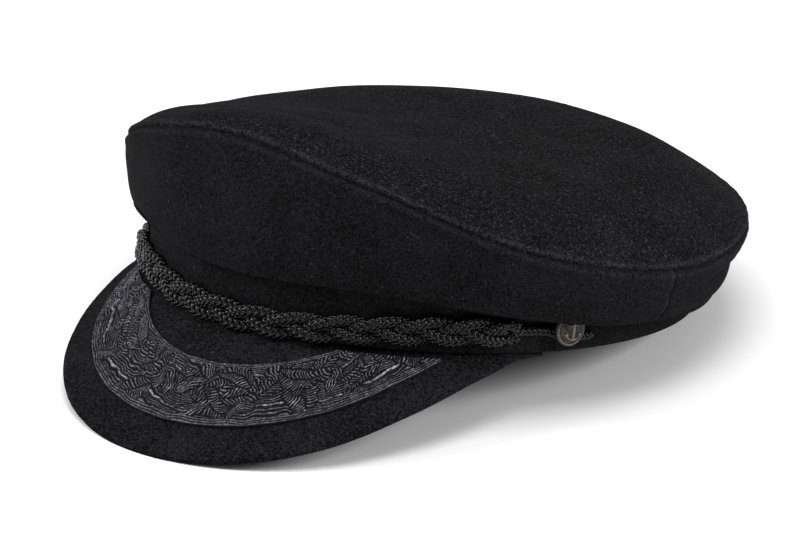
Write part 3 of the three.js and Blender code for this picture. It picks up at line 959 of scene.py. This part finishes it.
@dataclass
class Headband:
    """The stiff upright band round the head, covered in the same wool."""

    form: CapForm
    stations: int = 300
    corner_steps: int = 5
    rows: int = 12

    def section(self) -> np.ndarray:
        """Outline of the band's wall in reach and height: outer face, top, inner face and foot."""
        edge, wall, height = self.form.band_edge, self.form.band_wall, self.form.band_height
        low, high = edge, height - edge
        rise = np.linspace(low, high, self.rows + 2)[1:-1]
        drop = np.linspace(high, low, self.rows + 2)[1:-1]

        def corner(x: float, y: float, start: float) -> np.ndarray:
            """A rounded corner about a point, from a start in degrees."""
            turn = np.linspace(0, math.pi / 2, self.corner_steps) + math.radians(start)
            return np.stack([x + edge * np.cos(turn), y + edge * np.sin(turn)], -1)

        return np.concatenate([
            corner(-edge, low, -90),
            np.stack([np.zeros_like(rise), rise], -1),
            corner(-edge, high, 0),
            corner(edge - wall, high, 90),
            np.stack([np.full_like(drop, -wall), drop], -1),
            corner(edge - wall, low, 180),
        ])

    def build(self, wool: bpy.types.Material) -> None:
        """Makes and dresses the band."""
        form = self.form
        section = self.section()
        angle = np.linspace(-180, 180, self.stations, endpoint=False)
        sections = form.around(angle[:, None], section[None, :, 0], section[None, :, 1])
        band = MeshMaker.loft("wool_headband", form.at_rest(sections), True)
        finished(band, wool, Slot.WOOL, "headband")


@dataclass
class Peak:
    """The sloping peak: a board covered in wool that is turned round its rim."""

    form: CapForm
    stations: int = 260
    rows: int = 60
    rim_steps: int = 10
    crowd: float = 1.3  # how much closer rows lie towards the rim
    roll: float = 0.28  # swell of the wool beside the rim
    roll_inset: float = 2.6
    roll_width: float = 1.8
    ripple: float = 0.12
    ripple_width: float = 6.0

    def build(self, wool: bpy.types.Material) -> None:
        """Makes and dresses the peak."""
        form = self.form
        part = np.linspace(-1, 1, self.stations)[:, None]
        depth = form.peak_reach(part)
        thick = form.peak_wall * form.peak_column("wall", part)
        radius = thick / 2
        share = np.linspace(0, 1, self.rows)[None, :]
        run = depth - radius + form.band_wall
        down = -form.band_wall + run * (1 - (1 - share) ** self.crowd)
        inset = depth - down
        upper_lift = self.roll * hill(inset - self.roll_inset, self.roll_width)
        upper_lift += self.ripple * np.sin(part * 31) * hill(inset, self.ripple_width)
        turn = np.linspace(90, -90, self.rim_steps + 2)[1:-1] * math.pi / 180
        rim = depth - radius + radius * np.cos(turn)
        rim_lift = -radius + radius * np.sin(turn)
        distance = np.concatenate([down, rim, down[:, ::-1]], 1)
        lift = np.concatenate([upper_lift, rim_lift, np.broadcast_to(-thick, down.shape)], 1)
        sections = form.on_peak(np.broadcast_to(part, distance.shape), distance, lift)
        piece = MeshMaker.loft("wool_peak", form.at_rest(sections), False)
        finished(piece, wool, Slot.WOOL, "peak")


class Leaf(NamedTuple):
    """One leaf of the lace, by its stalk's place along and across the band, direction and size."""

    along: float
    across: float
    lean_deg: float
    length: float
    width: float
    bend: float


@dataclass
class LaceBand:
    """The embroidered band on the peak: leaves laid close together in fine raised thread."""

    form: CapForm
    stations: int = 800
    rows: int = 104
    thread: float = 1.02  # spacing of the threads
    hatch: float = 1.2  # spacing of the open stitches in a leaf
    relief: float = 0.75  # height of a thread
    base: float = 0.25  # thickness between the threads
    foot: float = 0.02  # of the underside above the peak
    border: float = 2.8
    border_threads: int = 3
    inner_border: float = 1.6
    inner_threads: int = 2
    leaf_step: float = 6.4
    warp: tuple[float, float] = (0.26, 0.18)  # unevenness of the handwork, along and across
    wobble: float = 0.5
    waves: tuple[float, float] = (2.3, 1.1)  # of the ground threads, long and short
    broken: float = 0.16  # share of a thread's height that changes from stitch to stitch
    seed: int = 11

    def leaves(self, length: float) -> list[Leaf]:
        """Leaves in two staggered rows, each varied as handwork is."""
        vary = np.random.default_rng(self.seed).uniform
        middle = (self.border + self.form.lace_width) / 2
        made = []
        for i in range(int(length / self.leaf_step) + 2):
            along = (i + 0.5) * self.leaf_step - length / 2 + vary(-2.5, 2.5)
            up = 1 if i % 2 else -1
            lean = up * vary(15, 62) + (180 if vary() < 0.4 else 0)
            across = middle + vary(-2, 3) - up * 2
            size = vary(13, 19)
            made.append(Leaf(along, across, lean, size, size * vary(0.2, 0.26), vary(-3, 3)))
            lean = -up * vary(25, 80) + (180 if vary() < 0.5 else 0)
            across = middle + up * vary(3, 6)
            size = vary(8, 11)
            made.append(Leaf(along + 4, across, lean, size, size * vary(0.22, 0.3), vary(-2, 2)))
        return made

    def pattern(self, along: np.ndarray, across: np.ndarray, length: float) -> np.ndarray:
        """Relief of the lace from 0, between threads, to 1, on top of a thread.

        Args:
            along: Millimetres along the band from its middle.
            across: Millimetres in from its outer edge.
            length: Length of the band.

        Returns:
            The relief at each point.
        """
        width = self.form.lace_width
        straight = across
        along, across = (
            along + self.warp[0] * np.sin(across * 1.5 + 2.0 * np.sin(along / 3.7)),
            across + self.warp[1] * np.sin(along * 1.3 + 1.6 * np.sin(across / 2.9)),
        )
        wobble = self.wobble * np.sin(along / 2.3 + across / 1.9) * np.sin(along / 3.1 - across / 2.7)
        wave = self.waves[0] * np.sin(along / 7.3 + across / 24.0)
        wave += self.waves[1] * np.sin(along / 3.7 - across / 14.0 + 1.0)
        pull = np.sin(math.pi * np.clip((across - 2) / width, 0, 1))
        ground = across + wave * pull + wobble
        height = 0.9 * self.threads(ground + 0.1 * np.sin(ground * 1.7 + along / 6), self.thread, 0.62)
        stem = np.abs(np.mod(ground, width / 2) - width / 4)
        height = np.where(stem < 0.8, np.where(stem < 0.38, 1.0, 0.0), height)
        for order, leaf in enumerate(self.leaves(length)):
            height = self.with_leaf(height, leaf, order, along, across, wobble)
        for edge, deep, count in (
            (straight, self.border, self.border_threads),
            (width - straight, self.inner_border, self.inner_threads),
        ):
            waved = edge + (0.25 * np.sin(along / 2.1) + 0.5 * wobble) * np.clip(edge, 0, 1)
            cord = 0.9 * self.threads(waved, deep / count, 0.78)
            height = np.where(waved < deep, cord, height)
        stitch = np.sin(along * 2.6 + 1.8 * np.sin(across * 1.3))
        stitch = stitch * np.sin(across * 2.3 + 1.6 * np.sin(along * 1.1))
        return height * (1 - self.broken + self.broken * stitch)

    def with_leaf(
        self,
        height: np.ndarray,
        leaf: Leaf,
        order: int,
        along: np.ndarray,
        across: np.ndarray,
        wobble: np.ndarray,
    ) -> np.ndarray:
        """Lays one leaf over the relief.

        Args:
            height: Relief so far.
            leaf: The leaf.
            order: Its number, which says whether it is worked in open, long or slanting stitches.
            along: Millimetres along the band.
            across: Millimetres across the band.
            wobble: Unevenness of the handwork.

        Returns:
            The relief with the leaf.
        """
        turn = math.radians(leaf.lean_deg)
        dx, dy = along - leaf.along, across - leaf.across
        run = (dx * math.cos(turn) + dy * math.sin(turn)) / leaf.length
        share = np.clip(run, 0, 1)
        side = -dx * math.sin(turn) + dy * math.cos(turn)
        side = side - leaf.bend * np.sin(math.pi * share) + 0.4 * wobble
        half = leaf.width * np.sin(math.pi * share**0.8) ** 0.7
        inner = half - np.abs(side)
        down = run * leaf.length
        kind = (order + order // 2) % 3
        if kind == 0:
            bowed = down - 0.9 * np.abs(side) + 0.09 * side**2 + 0.9 * wobble
            blade = self.threads(bowed + 0.2 * np.sin(down * 0.9 + order), self.hatch, 0.52)
            blade = np.where(np.abs(side) < 0.28, 0.0, blade)
        elif kind == 1:
            blade = self.threads(side + 0.8 * np.sin(down / 2.6 + order) + 0.4 * wobble, self.thread, 0.6)
        else:
            slant = 0.6 * down + 0.8 * side + 0.06 * side * down + 0.6 * wobble
            blade = self.threads(slant, self.thread * 1.1, 0.58)
        within = (run > 0) & (run < 1)
        height = np.where(within & (inner > -0.45), 0.0, height)
        return np.where(within & (inner > 0), blade, height)

    def threads(self, place: np.ndarray, pitch: float, fill: float) -> np.ndarray:
        """Round threads side by side, pitch apart, each as wide as its fill of the pitch."""
        offset = np.abs(np.mod(place / pitch, 1.0) - 0.5) * 2
        return np.sqrt(np.clip(1 - (offset / fill) ** 2, 0, 1))

    def build(self, lace: bpy.types.Material) -> None:
        """Makes and dresses the lace."""
        form = self.form
        parts = np.linspace(0, 1, 401)
        shortest = form.band_wall + form.lace_margin + form.lace_thick
        end = parts[form.peak_reach(parts) > shortest].max()
        part = np.linspace(-end, end, self.stations)
        far = form.peak_reach(part) - form.lace_margin
        near = np.maximum(far - form.lace_width, form.band_wall)
        share = np.linspace(0, 1, self.rows)
        distance = far[:, None] + (near - far)[:, None] * share
        parts = np.broadcast_to(part[:, None], distance.shape)
        across = far[:, None] - distance
        run = run_along(form.on_peak(part, far - form.lace_width / 2, 0.0 * part))
        along = np.broadcast_to((run - run[-1] / 2)[:, None], distance.shape)
        relief = self.pattern(along, across, run[-1])
        upper = form.on_peak(parts, distance, form.gap + self.base + self.relief * relief)
        rims = [-1, 0]  # the underside is one strip between its near and far edge
        lower = form.on_peak(parts, distance, np.full_like(distance, self.foot))[:, rims]
        sections = np.concatenate([upper, lower], 1)
        values = {"relief": np.concatenate([relief, np.zeros(lower.shape[:2])], 1)}
        piece = MeshMaker.loft("lace_band", form.at_rest(sections), False, values)
        finished(piece, lace, Slot.LACE, "peak_lace")


@dataclass(frozen=True)
class StitchTree:
    """Geometry Nodes that lay one stitch on each point, along and facing what its attributes say."""

    segments: int = 8
    rings: int = 8
    bend: float = 0.07  # how fast a stitch curves down from its middle

    def build(self) -> bpy.types.NodeTree:
        """Makes the tree.

        Returns:
            A tree with the inputs Core, Length, Width, Height and Material.
        """
        tree = bpy.data.node_groups.new("laid_stitches", "GeometryNodeTree")
        face = tree.interface
        face.new_socket("Geometry", in_out="INPUT", socket_type="NodeSocketGeometry")
        face.new_socket("Core", in_out="INPUT", socket_type="NodeSocketObject")
        for name in ("Length", "Width", "Height"):
            face.new_socket(name, in_out="INPUT", socket_type="NodeSocketFloat")
        face.new_socket("Material", in_out="INPUT", socket_type="NodeSocketMaterial")
        face.new_socket("Geometry", in_out="OUTPUT", socket_type="NodeSocketGeometry")
        board = Board(tree)
        given = board.add("NodeGroupInput").outputs
        sphere = board.add("GeometryNodeMeshUVSphere", {
            "Segments": self.segments, "Rings": self.rings, "Radius": 0.5,
        })
        across = board.add("ShaderNodeSeparateXYZ", {0: sphere.outputs["UV Map"]}).outputs[0]
        marked = board.add("GeometryNodeStoreNamedAttribute", {
            "Geometry": sphere.outputs["Mesh"], "Name": "yarn", "Value": across,
        }, data_type="FLOAT", domain="POINT")
        size = board.add("ShaderNodeCombineXYZ", {
            0: given["Height"], 1: given["Width"], 2: given["Length"],
        })
        straight = board.add("GeometryNodeTransform", {
            "Geometry": marked.outputs[0], "Scale": size.outputs[0],
        })
        position = board.add("GeometryNodeInputPosition").outputs[0]
        ahead = board.add("ShaderNodeSeparateXYZ", {0: position}).outputs[2]
        drop = board.math("MULTIPLY", board.math("MULTIPLY", ahead, ahead), -self.bend / MM)
        offset = board.add("ShaderNodeCombineXYZ", {0: drop})
        stitch = board.add("GeometryNodeSetPosition", {
            "Geometry": straight.outputs[0], "Offset": offset.outputs[0],
        })
        turned = board.add("FunctionNodeAlignRotationToVector", {
            "Vector": self.attribute(board, "along", "FLOAT_VECTOR"),
        }, axis="Z", pivot_axis="AUTO")
        rolled = board.add("FunctionNodeAlignRotationToVector", {
            "Rotation": turned.outputs[0], "Vector": self.attribute(board, "facing", "FLOAT_VECTOR"),
        }, axis="X", pivot_axis="Z")
        lean = board.add("ShaderNodeCombineXYZ", {0: self.attribute(board, "lean", "FLOAT")})
        leaning = board.add("FunctionNodeRotateRotation", {
            0: rolled.outputs[0],
            1: board.add("FunctionNodeEulerToRotation", {0: lean.outputs[0]}).outputs[0],
        }, rotation_space="LOCAL")
        laid = board.add("GeometryNodeInstanceOnPoints", {
            "Points": given["Geometry"], "Instance": stitch.outputs[0], "Rotation": leaning.outputs[0],
        })
        core = board.add("GeometryNodeObjectInfo", {"Object": given["Core"]})
        joined = board.add("GeometryNodeJoinGeometry", {"Geometry": laid.outputs[0]})
        tree.links.new(core.outputs["Geometry"], joined.inputs["Geometry"])
        real = board.add("GeometryNodeRealizeInstances", {"Geometry": joined.outputs[0]})
        smooth = board.add("GeometryNodeSetShadeSmooth", {"Geometry": real.outputs[0]})
        dressed = board.add("GeometryNodeSetMaterial", {
            "Geometry": smooth.outputs[0], "Material": given["Material"],
        })
        board.add("NodeGroupOutput", {"Geometry": dressed.outputs[0]})
        return tree

    def attribute(self, board: Board, name: str, kind: str) -> bpy.types.NodeSocket:
        """A value that each point holds under a name."""
        node = board.add("GeometryNodeInputNamedAttribute", {"Name": name}, data_type=kind)
        return node.outputs["Attribute"]


class CordPath(NamedTuple):
    """Centreline of a cord on the upright cap, and the cord's size."""

    line: np.ndarray  # points close together
    away: np.ndarray  # direction away from the headband at each point
    run: np.ndarray  # length of the cord up to each point
    width: float  # along the headband's face
    thick: float  # away from it

    def frames(self, at: np.ndarray) -> tuple[np.ndarray, ...]:
        """Places, tangents, outward and sideways directions at distances along the cord."""
        tangent = unit(read_rows(at, self.run, np.gradient(self.line, self.run, axis=0)))
        out = read_rows(at, self.run, self.away)
        out = unit(out - (out * tangent).sum(-1, keepdims=True) * tangent)
        return read_rows(at, self.run, self.line), tangent, out, np.cross(tangent, out)

    def to_end(self, at: np.ndarray) -> np.ndarray:
        """Distance to the nearer end of the cord."""
        return np.minimum(at, self.run[-1] - at)


@dataclass
class CordMaker:
    """Makes round braided cord: a core and columns of leaning stitches that meet in chevrons."""

    form: CapForm
    material: bpy.types.Material
    columns: int = 6
    pitch: float = 2.05  # of the stitches along the cord
    lean_deg: float = 38.0
    stitch: tuple[float, float, float] = (2.9, 1.3, 1.05)  # length, width and height
    drawn_width: float = 3.8  # width of the cord that the pitch and the stitch suit
    shell: float = 0.79  # how far out the stitches lie, as a share of the cord
    end_taper: float = 0.45
    core_share: float = 0.7
    core_sides: int = 12
    core_step: float = 0.8
    tree: bpy.types.NodeTree = field(init=False)

    def __post_init__(self) -> None:
        """Makes the tree that every cord shares."""
        self.tree = StitchTree().build()

    def cord(
        self, name: str, line: np.ndarray, away: np.ndarray, width: float, thick: float
    ) -> bpy.types.Object:
        """Makes one cord.

        Args:
            name: Name of the piece.
            line: Points of its centreline on the upright cap, close together.
            away: Direction away from the headband at each point.
            width: Width of the cord along the headband's face.
            thick: Thickness of the cord away from the headband.

        Returns:
            The piece.
        """
        path = CordPath(line, away, run_along(line), width, thick)
        core = self.core(name + "_core", path)
        seats = self.seats(name, path)
        modifier = seats.modifiers.new("stitches", "NODES")
        modifier.node_group = self.tree
        sockets = {
            item.name: item.identifier for item in self.tree.interface.items_tree if item.in_out == "INPUT"
        }
        modifier[sockets["Core"]] = core
        for socket, size in zip(("Length", "Width", "Height"), self.stitch):
            modifier[sockets[socket]] = size * (width / self.drawn_width) * MM
        modifier[sockets["Material"]] = self.material
        bpy.context.view_layer.update()
        graph = bpy.context.evaluated_depsgraph_get()
        mesh = bpy.data.meshes.new_from_object(seats.evaluated_get(graph))
        seats.modifiers.clear()
        seats.data = mesh
        bpy.data.objects.remove(core)
        return seats

    def core(self, name: str, path: CordPath) -> bpy.types.Object:
        """Makes the smooth core under the stitches, with rounded ends."""
        length = path.run[-1]
        at = np.linspace(0, length, max(int(length / self.core_step), 8))
        place, _, out, side = path.frames(at)
        turn = np.linspace(0, 2 * math.pi, self.core_sides, endpoint=False)
        inset = path.to_end(at)
        rounding = np.sqrt(np.clip(1 - (1 - inset / (path.width / 2)) ** 2, 0.02, 1))
        rounding = np.where(inset < path.width / 2, rounding, 1.0)
        wide = (self.core_share * path.width / 2 * rounding)[:, None, None] * np.cos(turn)[:, None]
        deep = (self.core_share * path.thick / 2 * rounding)[:, None, None] * np.sin(turn)[:, None]
        rings = place[:, None] + wide * side[:, None] + deep * out[:, None]
        return MeshMaker.loft(name, self.form.at_rest(rings), False)

    def seats(self, name: str, path: CordPath) -> bpy.types.Object:
        """Makes the points that carry the stitches, with the directions that each one follows."""
        length = path.run[-1]
        count = max(int(length / (self.pitch * (path.width / self.drawn_width))), 2)
        points, along, facing, lean = [], [], [], []
        for column in range(self.columns):
            turn = 2 * math.pi * column / self.columns
            arm = column % 2
            at = (np.arange(count) + 0.3 + 0.3 * arm) / count * length
            place, tangent, out, side = path.frames(at)
            taper = np.sqrt(np.clip(path.to_end(at) / (self.end_taper * path.width), 0.25, 1))[:, None]
            offset = path.width / 2 * math.cos(turn) * side + path.thick / 2 * math.sin(turn) * out
            points.append(place + self.shell * taper * offset)
            along.append(tangent)
            facing.append(unit(math.cos(turn) / path.width * side + math.sin(turn) / path.thick * out))
            lean.append(np.full(count, (1 if arm else -1) * math.radians(self.lean_deg)))
        mesh = bpy.data.meshes.new(name)
        mesh.from_pydata(self.form.at_rest(np.concatenate(points)).tolist(), [], [])
        for key, vectors in (("along", along), ("facing", facing)):
            turned = self.form.turned(np.concatenate(vectors)).astype(np.float32)
            layer = mesh.attributes.new(key, "FLOAT_VECTOR", "POINT")
            layer.data.foreach_set("vector", turned.ravel())
        layer = mesh.attributes.new("lean", "FLOAT", "POINT")
        layer.data.foreach_set("value", np.concatenate(lean).astype(np.float32))
        piece = bpy.data.objects.new(name, mesh)
        bpy.context.scene.collection.objects.link(piece)
        return piece


@dataclass
class Plait:
    """Three braided cords plaited across the front, with a loop at each end."""

    form: CapForm
    maker: CordMaker
    cord: float = 2.9
    pitch: float = 45.0
    half_angle: float = 59.0
    height: float = 8.0
    swing_share: float = 0.95
    weave_share: float = 0.7
    flatness: float = 0.46  # how far the weave is pressed against the headband
    show_width: float = 4.1
    show_thick: float = 2.7
    loop_half_angle: float = 118.0
    loop_lift: float = 0.6

    def route(self) -> tuple[np.ndarray, np.ndarray]:
        """Centreline of the plait on the headband, and its length up to each point."""
        share = np.linspace(0, 1, 600)
        height = self.height * smooth_column(np.array(PLAIT_HEIGHTS), share * (len(PLAIT_HEIGHTS) - 1))
        reach = self.form.gap + self.flatness * (self.weave + self.cord / 2)
        line = self.form.around((2 * share - 1) * self.half_angle, reach, height)
        return line, run_along(line)

    @property
    def swing(self) -> float:
        """How far a cord swings up and down."""
        return self.swing_share * (self.cord + self.form.gap)

    @property
    def weave(self) -> float:
        """How far a cord swings towards and away from the headband."""
        return self.weave_share * (self.cord + self.form.gap)

    def laid(self, straight: np.ndarray) -> tuple[np.ndarray, np.ndarray]:
        """Lays straight work along the route.

        Args:
            straight: Points with x along the plait, y up and z away from the headband.

        Returns:
            The points on the cap and the direction away from the headband at each.
        """
        line, run = self.route()
        along = np.clip(straight[:, 0], 0, run[-1])
        tangent = unit(read_rows(along, run, np.gradient(line, run, axis=0)))
        out = unit(np.cross(tangent, UP))
        beyond = (straight[:, 0] - along)[:, None]
        base = read_rows(along, run, line) + tangent * beyond
        return base + UP * straight[:, 1:2] + out * self.flatness * straight[:, 2:3], out

    def swung(self, order: int, share: np.ndarray, length: float) -> np.ndarray:
        """Straight centreline of one cord at shares of the plait's length."""
        crossings = round(2 * length / self.pitch)
        phase = math.pi * (crossings * share + 2 * order / 3)
        return np.stack([length * share, self.swing * np.sin(phase), self.weave * np.sin(2 * phase)], -1)

    def build(self) -> None:
        """Makes and dresses the cords and loops."""
        length = self.route()[1][-1]
        for order in range(3):
            line, out = self.laid(self.swung(order, np.linspace(0, 1, 700), length))
            piece = self.maker.cord(f"braid_cord_{order + 1}", line, out, self.show_width, self.show_thick)
            finished(piece, self.maker.material, Slot.BRAID, f"plait_cord_{order + 1}")
        for side in Side:
            sign = side.value
            end = self.swung(1, np.array([1.0 if sign > 0 else 0.0]), length)[0]
            start = length + self.cord / 3 if sign > 0 else -self.cord / 3
            turn = np.radians(np.linspace(-self.loop_half_angle, self.loop_half_angle, 80))
            past = start + sign * abs(end[1]) * np.cos(turn)
            rise = np.sin(turn)
            line, out = self.laid(np.stack([past, end[1] * rise, self.loop_lift + end[2] * rise], -1))
            name = side.name.lower()
            piece = self.maker.cord(f"braid_loop_{name}", line, out, self.show_width, self.show_thick)
            finished(piece, self.maker.material, Slot.BRAID, f"plait_loop_{name}")


@dataclass
class Fastening:
    """An anchor button on its shank, and the thin cord that runs under it from the plait."""

    form: CapForm
    maker: CordMaker
    metal: bpy.types.Material
    angle: float = 71.4
    height: float = 8.8
    cord: float = 2.6
    start_angle: float = 62.0
    tuck: float = 2.0  # degrees of the thin cord inside the plait's end
    start_height: float = 8.0
    show_width: float = 3.2
    drop: float = 0.5
    tail: float = 0.7
    diameter: float = 11.4
    thick: float = 1.6
    dome: float = 1.4
    shank: float = 2.6
    relief: float = 0.8
    rope_at: float = 0.9  # share of the radius
    rope_half_width: float = 0.075
    rope_twists: int = 34
    groove: float = 0.25
    stations: int = 120
    rows: int = 46

    def cord_line(self, side: Side) -> tuple[np.ndarray, np.ndarray]:
        """Centreline of the thin cord and the direction away from the headband along it."""
        reach = self.form.gap + self.cord / 2
        past = self.angle - self.start_angle
        low = self.height - (self.shank + self.cord) / 2 - self.form.gap
        rows = (
            (self.start_angle - self.tuck, self.start_height),
            (self.start_angle + past * self.drop, self.start_height),
            (self.angle, low),
            (self.angle + self.tail * past, low - self.cord / 4),
        )
        knots = np.array([self.form.around(side.value * angle, reach, height) for angle, height in rows])
        line = spline(knots, np.linspace(0, 1, 90))
        flat = line * np.array([1.0, 1.0, 0.0])
        turn = np.degrees(np.arctan2(flat[:, 0] / self.form.head_width, -flat[:, 1] / self.form.head_length))
        return line, self.form.outward(turn)

    def anchor(self, x: np.ndarray, y: np.ndarray) -> np.ndarray:
        """Relief of a plain anchor, from 0 to 1, at shares of the button's radius."""

        def bar(width: float, height: float, at_x: float, at_y: float) -> np.ndarray:
            """Distance outside an upright bar."""
            beside = np.maximum(np.abs(x - at_x) - width / 2, 0)
            return np.hypot(beside, np.maximum(np.abs(y - at_y) - height / 2, 0))

        ring = np.abs(np.hypot(x, y - 0.6) - 0.13) - 0.04
        turn = np.arctan2(y + 0.02, x)
        reach = np.clip(np.abs(turn + math.pi / 2) - math.radians(62), 0, None)
        arms = np.abs(np.hypot(x, y + 0.02) - 0.52) - 0.05 + reach
        fluke = np.hypot(np.abs(x) - 0.46, y + 0.22) - 0.1
        shaft, stock = bar(0.1, 1.0, 0, -0.05) - 0.03, bar(0.6, 0.06, 0, 0.32) - 0.03
        nearest = np.minimum.reduce([shaft, stock, ring, arms, fluke])
        return np.clip(0.5 - nearest / 0.07, 0, 1)

    def button(self, side: Side) -> bpy.types.Object:
        """Makes a button.

        Args:
            side: Side of the wearer.

        Returns:
            The piece, in its place.
        """
        radius = self.diameter / 2
        back = self.form.gap + self.cord
        edge = back + self.thick
        turn = np.linspace(0, 2 * math.pi, self.stations, endpoint=False)
        r, a = np.meshgrid(np.linspace(0, 1, self.rows), turn)
        x, y = r * np.cos(a), r * np.sin(a)
        rope = np.clip(1 - np.abs(r - self.rope_at) / self.rope_half_width, 0, 1) ** 0.5
        rope = rope * (0.72 + 0.28 * np.sin(a * self.rope_twists + r * 20))
        relief = np.maximum(self.anchor(x, y), rope)
        plate = self.dome * (1 - r * r) - self.groove * (r > 0.82) * (r < 0.98)
        face = np.stack([x * radius, y * radius, edge + plate + self.relief * relief], -1)
        stem = self.shank / 2 / radius
        rim = np.array([
            (1.0, edge - 0.3), (0.99, edge - 1.1), (0.93, back), (0.4, back),
            (stem, back), (stem, 0.0), (0.0, 0.0),
        ])
        wide, deep = rim[:, 0] * radius, np.broadcast_to(rim[:, 1], (len(turn), len(rim)))
        skirt = np.stack([wide * np.cos(turn)[:, None], wide * np.sin(turn)[:, None], deep], -1)
        local = np.concatenate([face, skirt], 1)
        dull = np.full(deep.shape, 0.25)
        values = {"relief": np.concatenate([relief, dull], 1)}
        angle = side.value * self.angle
        out = self.form.outward(np.array(angle))
        sideways = np.cross(UP, out)
        foot = self.form.around(angle, self.form.gap, self.height)
        placed = foot + local[..., :1] * sideways + local[..., 1:2] * UP + local[..., 2:] * out
        return MeshMaker.loft(f"anchor_button_{side.name.lower()}", self.form.at_rest(placed), True, values)

    def build(self) -> None:
        """Makes and dresses both sides."""
        for side in Side:
            name = side.name.lower()
            line, out = self.cord_line(side)
            cord = self.maker.cord(f"button_cord_{name}", line, out, self.show_width, self.cord)
            finished(cord, self.maker.material, Slot.BRAID, f"end_cord_{name}")
            finished(self.button(side), self.metal, Slot.PEWTER, f"button_{name}")


class SoftBox(NamedTuple):
    """A square lamp that shines on the cap."""

    name: str
    place: tuple[float, float, float]
    size: float
    power: float


@dataclass
class Studio:
    """Pale floor, soft lights and the camera at the photograph's angle."""

    form: CapForm
    azimuth_deg: float = 39.15
    elevation_deg: float = 21.38
    roll_deg: float = 0.39
    distance: float = 1.54743
    lens: float = 203.3
    shift: tuple[float, float] = (-0.0306, 0.0006)
    clip: tuple[float, float] = (0.05, 30.0)
    half_floor: float = 6.0
    room: float = 0.34  # strength of the even light
    aim: tuple[float, float, float] = (0.0, 0.0, 0.04)
    boxes: tuple[SoftBox, ...] = (
        SoftBox("key_box", (-1.1, -0.95, 1.05), 0.7, 25.0),
        SoftBox("top_box", (0.3, -0.3, 1.6), 0.9, 17.0),
        SoftBox("side_box", (1.4, 0.65, 0.75), 0.6, 22.0),
    )

    def build(self) -> None:
        """Makes the floor, lights and camera, with plain colour so that black cloth stays black."""
        bpy.context.scene.view_settings.view_transform = "Standard"
        self.floor()
        self.lights()
        self.camera()

    def floor(self) -> None:
        """Makes the pale floor."""
        mesh = bpy.data.meshes.new("floor")
        half = self.half_floor
        square = [(-half, -half, 0), (half, -half, 0), (half, half, 0), (-half, half, 0)]
        mesh.from_pydata(square, [], [(0, 1, 2, 3)])
        mesh.materials.append(PaleFloor().build())
        floor = bpy.data.objects.new("floor", mesh)
        bpy.context.scene.collection.objects.link(floor)

    def lights(self) -> None:
        """Makes the soft boxes and the even light of the room."""
        world = bpy.data.worlds.new("studio")
        world.use_nodes = True
        board = Board(world.node_tree)
        room = board.add("ShaderNodeBackground", {"Color": grey(1.0), "Strength": self.room})
        board.add("ShaderNodeOutputWorld", {"Surface": room.outputs[0]})
        bpy.context.scene.world = world
        for box in self.boxes:
            light = bpy.data.lights.new(box.name, "AREA")
            light.size = box.size
            light.energy = box.power
            lamp = bpy.data.objects.new(box.name, light)
            lamp.location = box.place
            aim = Vector(self.aim) - Vector(box.place)
            lamp.rotation_euler = aim.to_track_quat("-Z", "Y").to_euler()
            bpy.context.scene.collection.objects.link(lamp)

    def camera(self) -> None:
        """Makes the camera and turns it on the cap's seat."""
        azimuth, elevation = math.radians(self.azimuth_deg), math.radians(self.elevation_deg)
        level = math.cos(elevation)
        back = Vector((math.sin(azimuth) * level, -math.cos(azimuth) * level, math.sin(elevation)))
        data = bpy.data.cameras.new("camera")
        data.lens = self.lens
        data.sensor_width = 36.0
        data.shift_x, data.shift_y = self.shift
        data.clip_start, data.clip_end = self.clip
        camera = bpy.data.objects.new("camera", data)
        camera.location = Vector(self.form.seat) * MM + back * self.distance
        roll = Matrix.Rotation(math.radians(self.roll_deg), 4, "Z")
        turn = (-back).to_track_quat("-Z", "Y").to_matrix().to_4x4()
        camera.rotation_euler = (turn @ roll).to_euler()
        bpy.context.scene.collection.objects.link(camera)
        bpy.context.scene.camera = camera


def main() -> None:
    """Builds the cap and the studio."""
    logging.basicConfig(level=logging.INFO, format="%(name)s: %(message)s")
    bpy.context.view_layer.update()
    form = CapForm()
    wool = MeltonWool().build()
    Studio(form).build()
    Crown(form).build(wool, DustedWool().build())
    Headband(form).build(wool)
    Peak(form).build(NappedWool().build())
    LaceBand(form).build(LaceThread().build())
    maker = CordMaker(form, BraidCord().build())
    Plait(form, maker).build()
    Fastening(form, maker, Pewter().build()).build()
    log.info("cap finished")


if __name__ == "__main__":
    main()
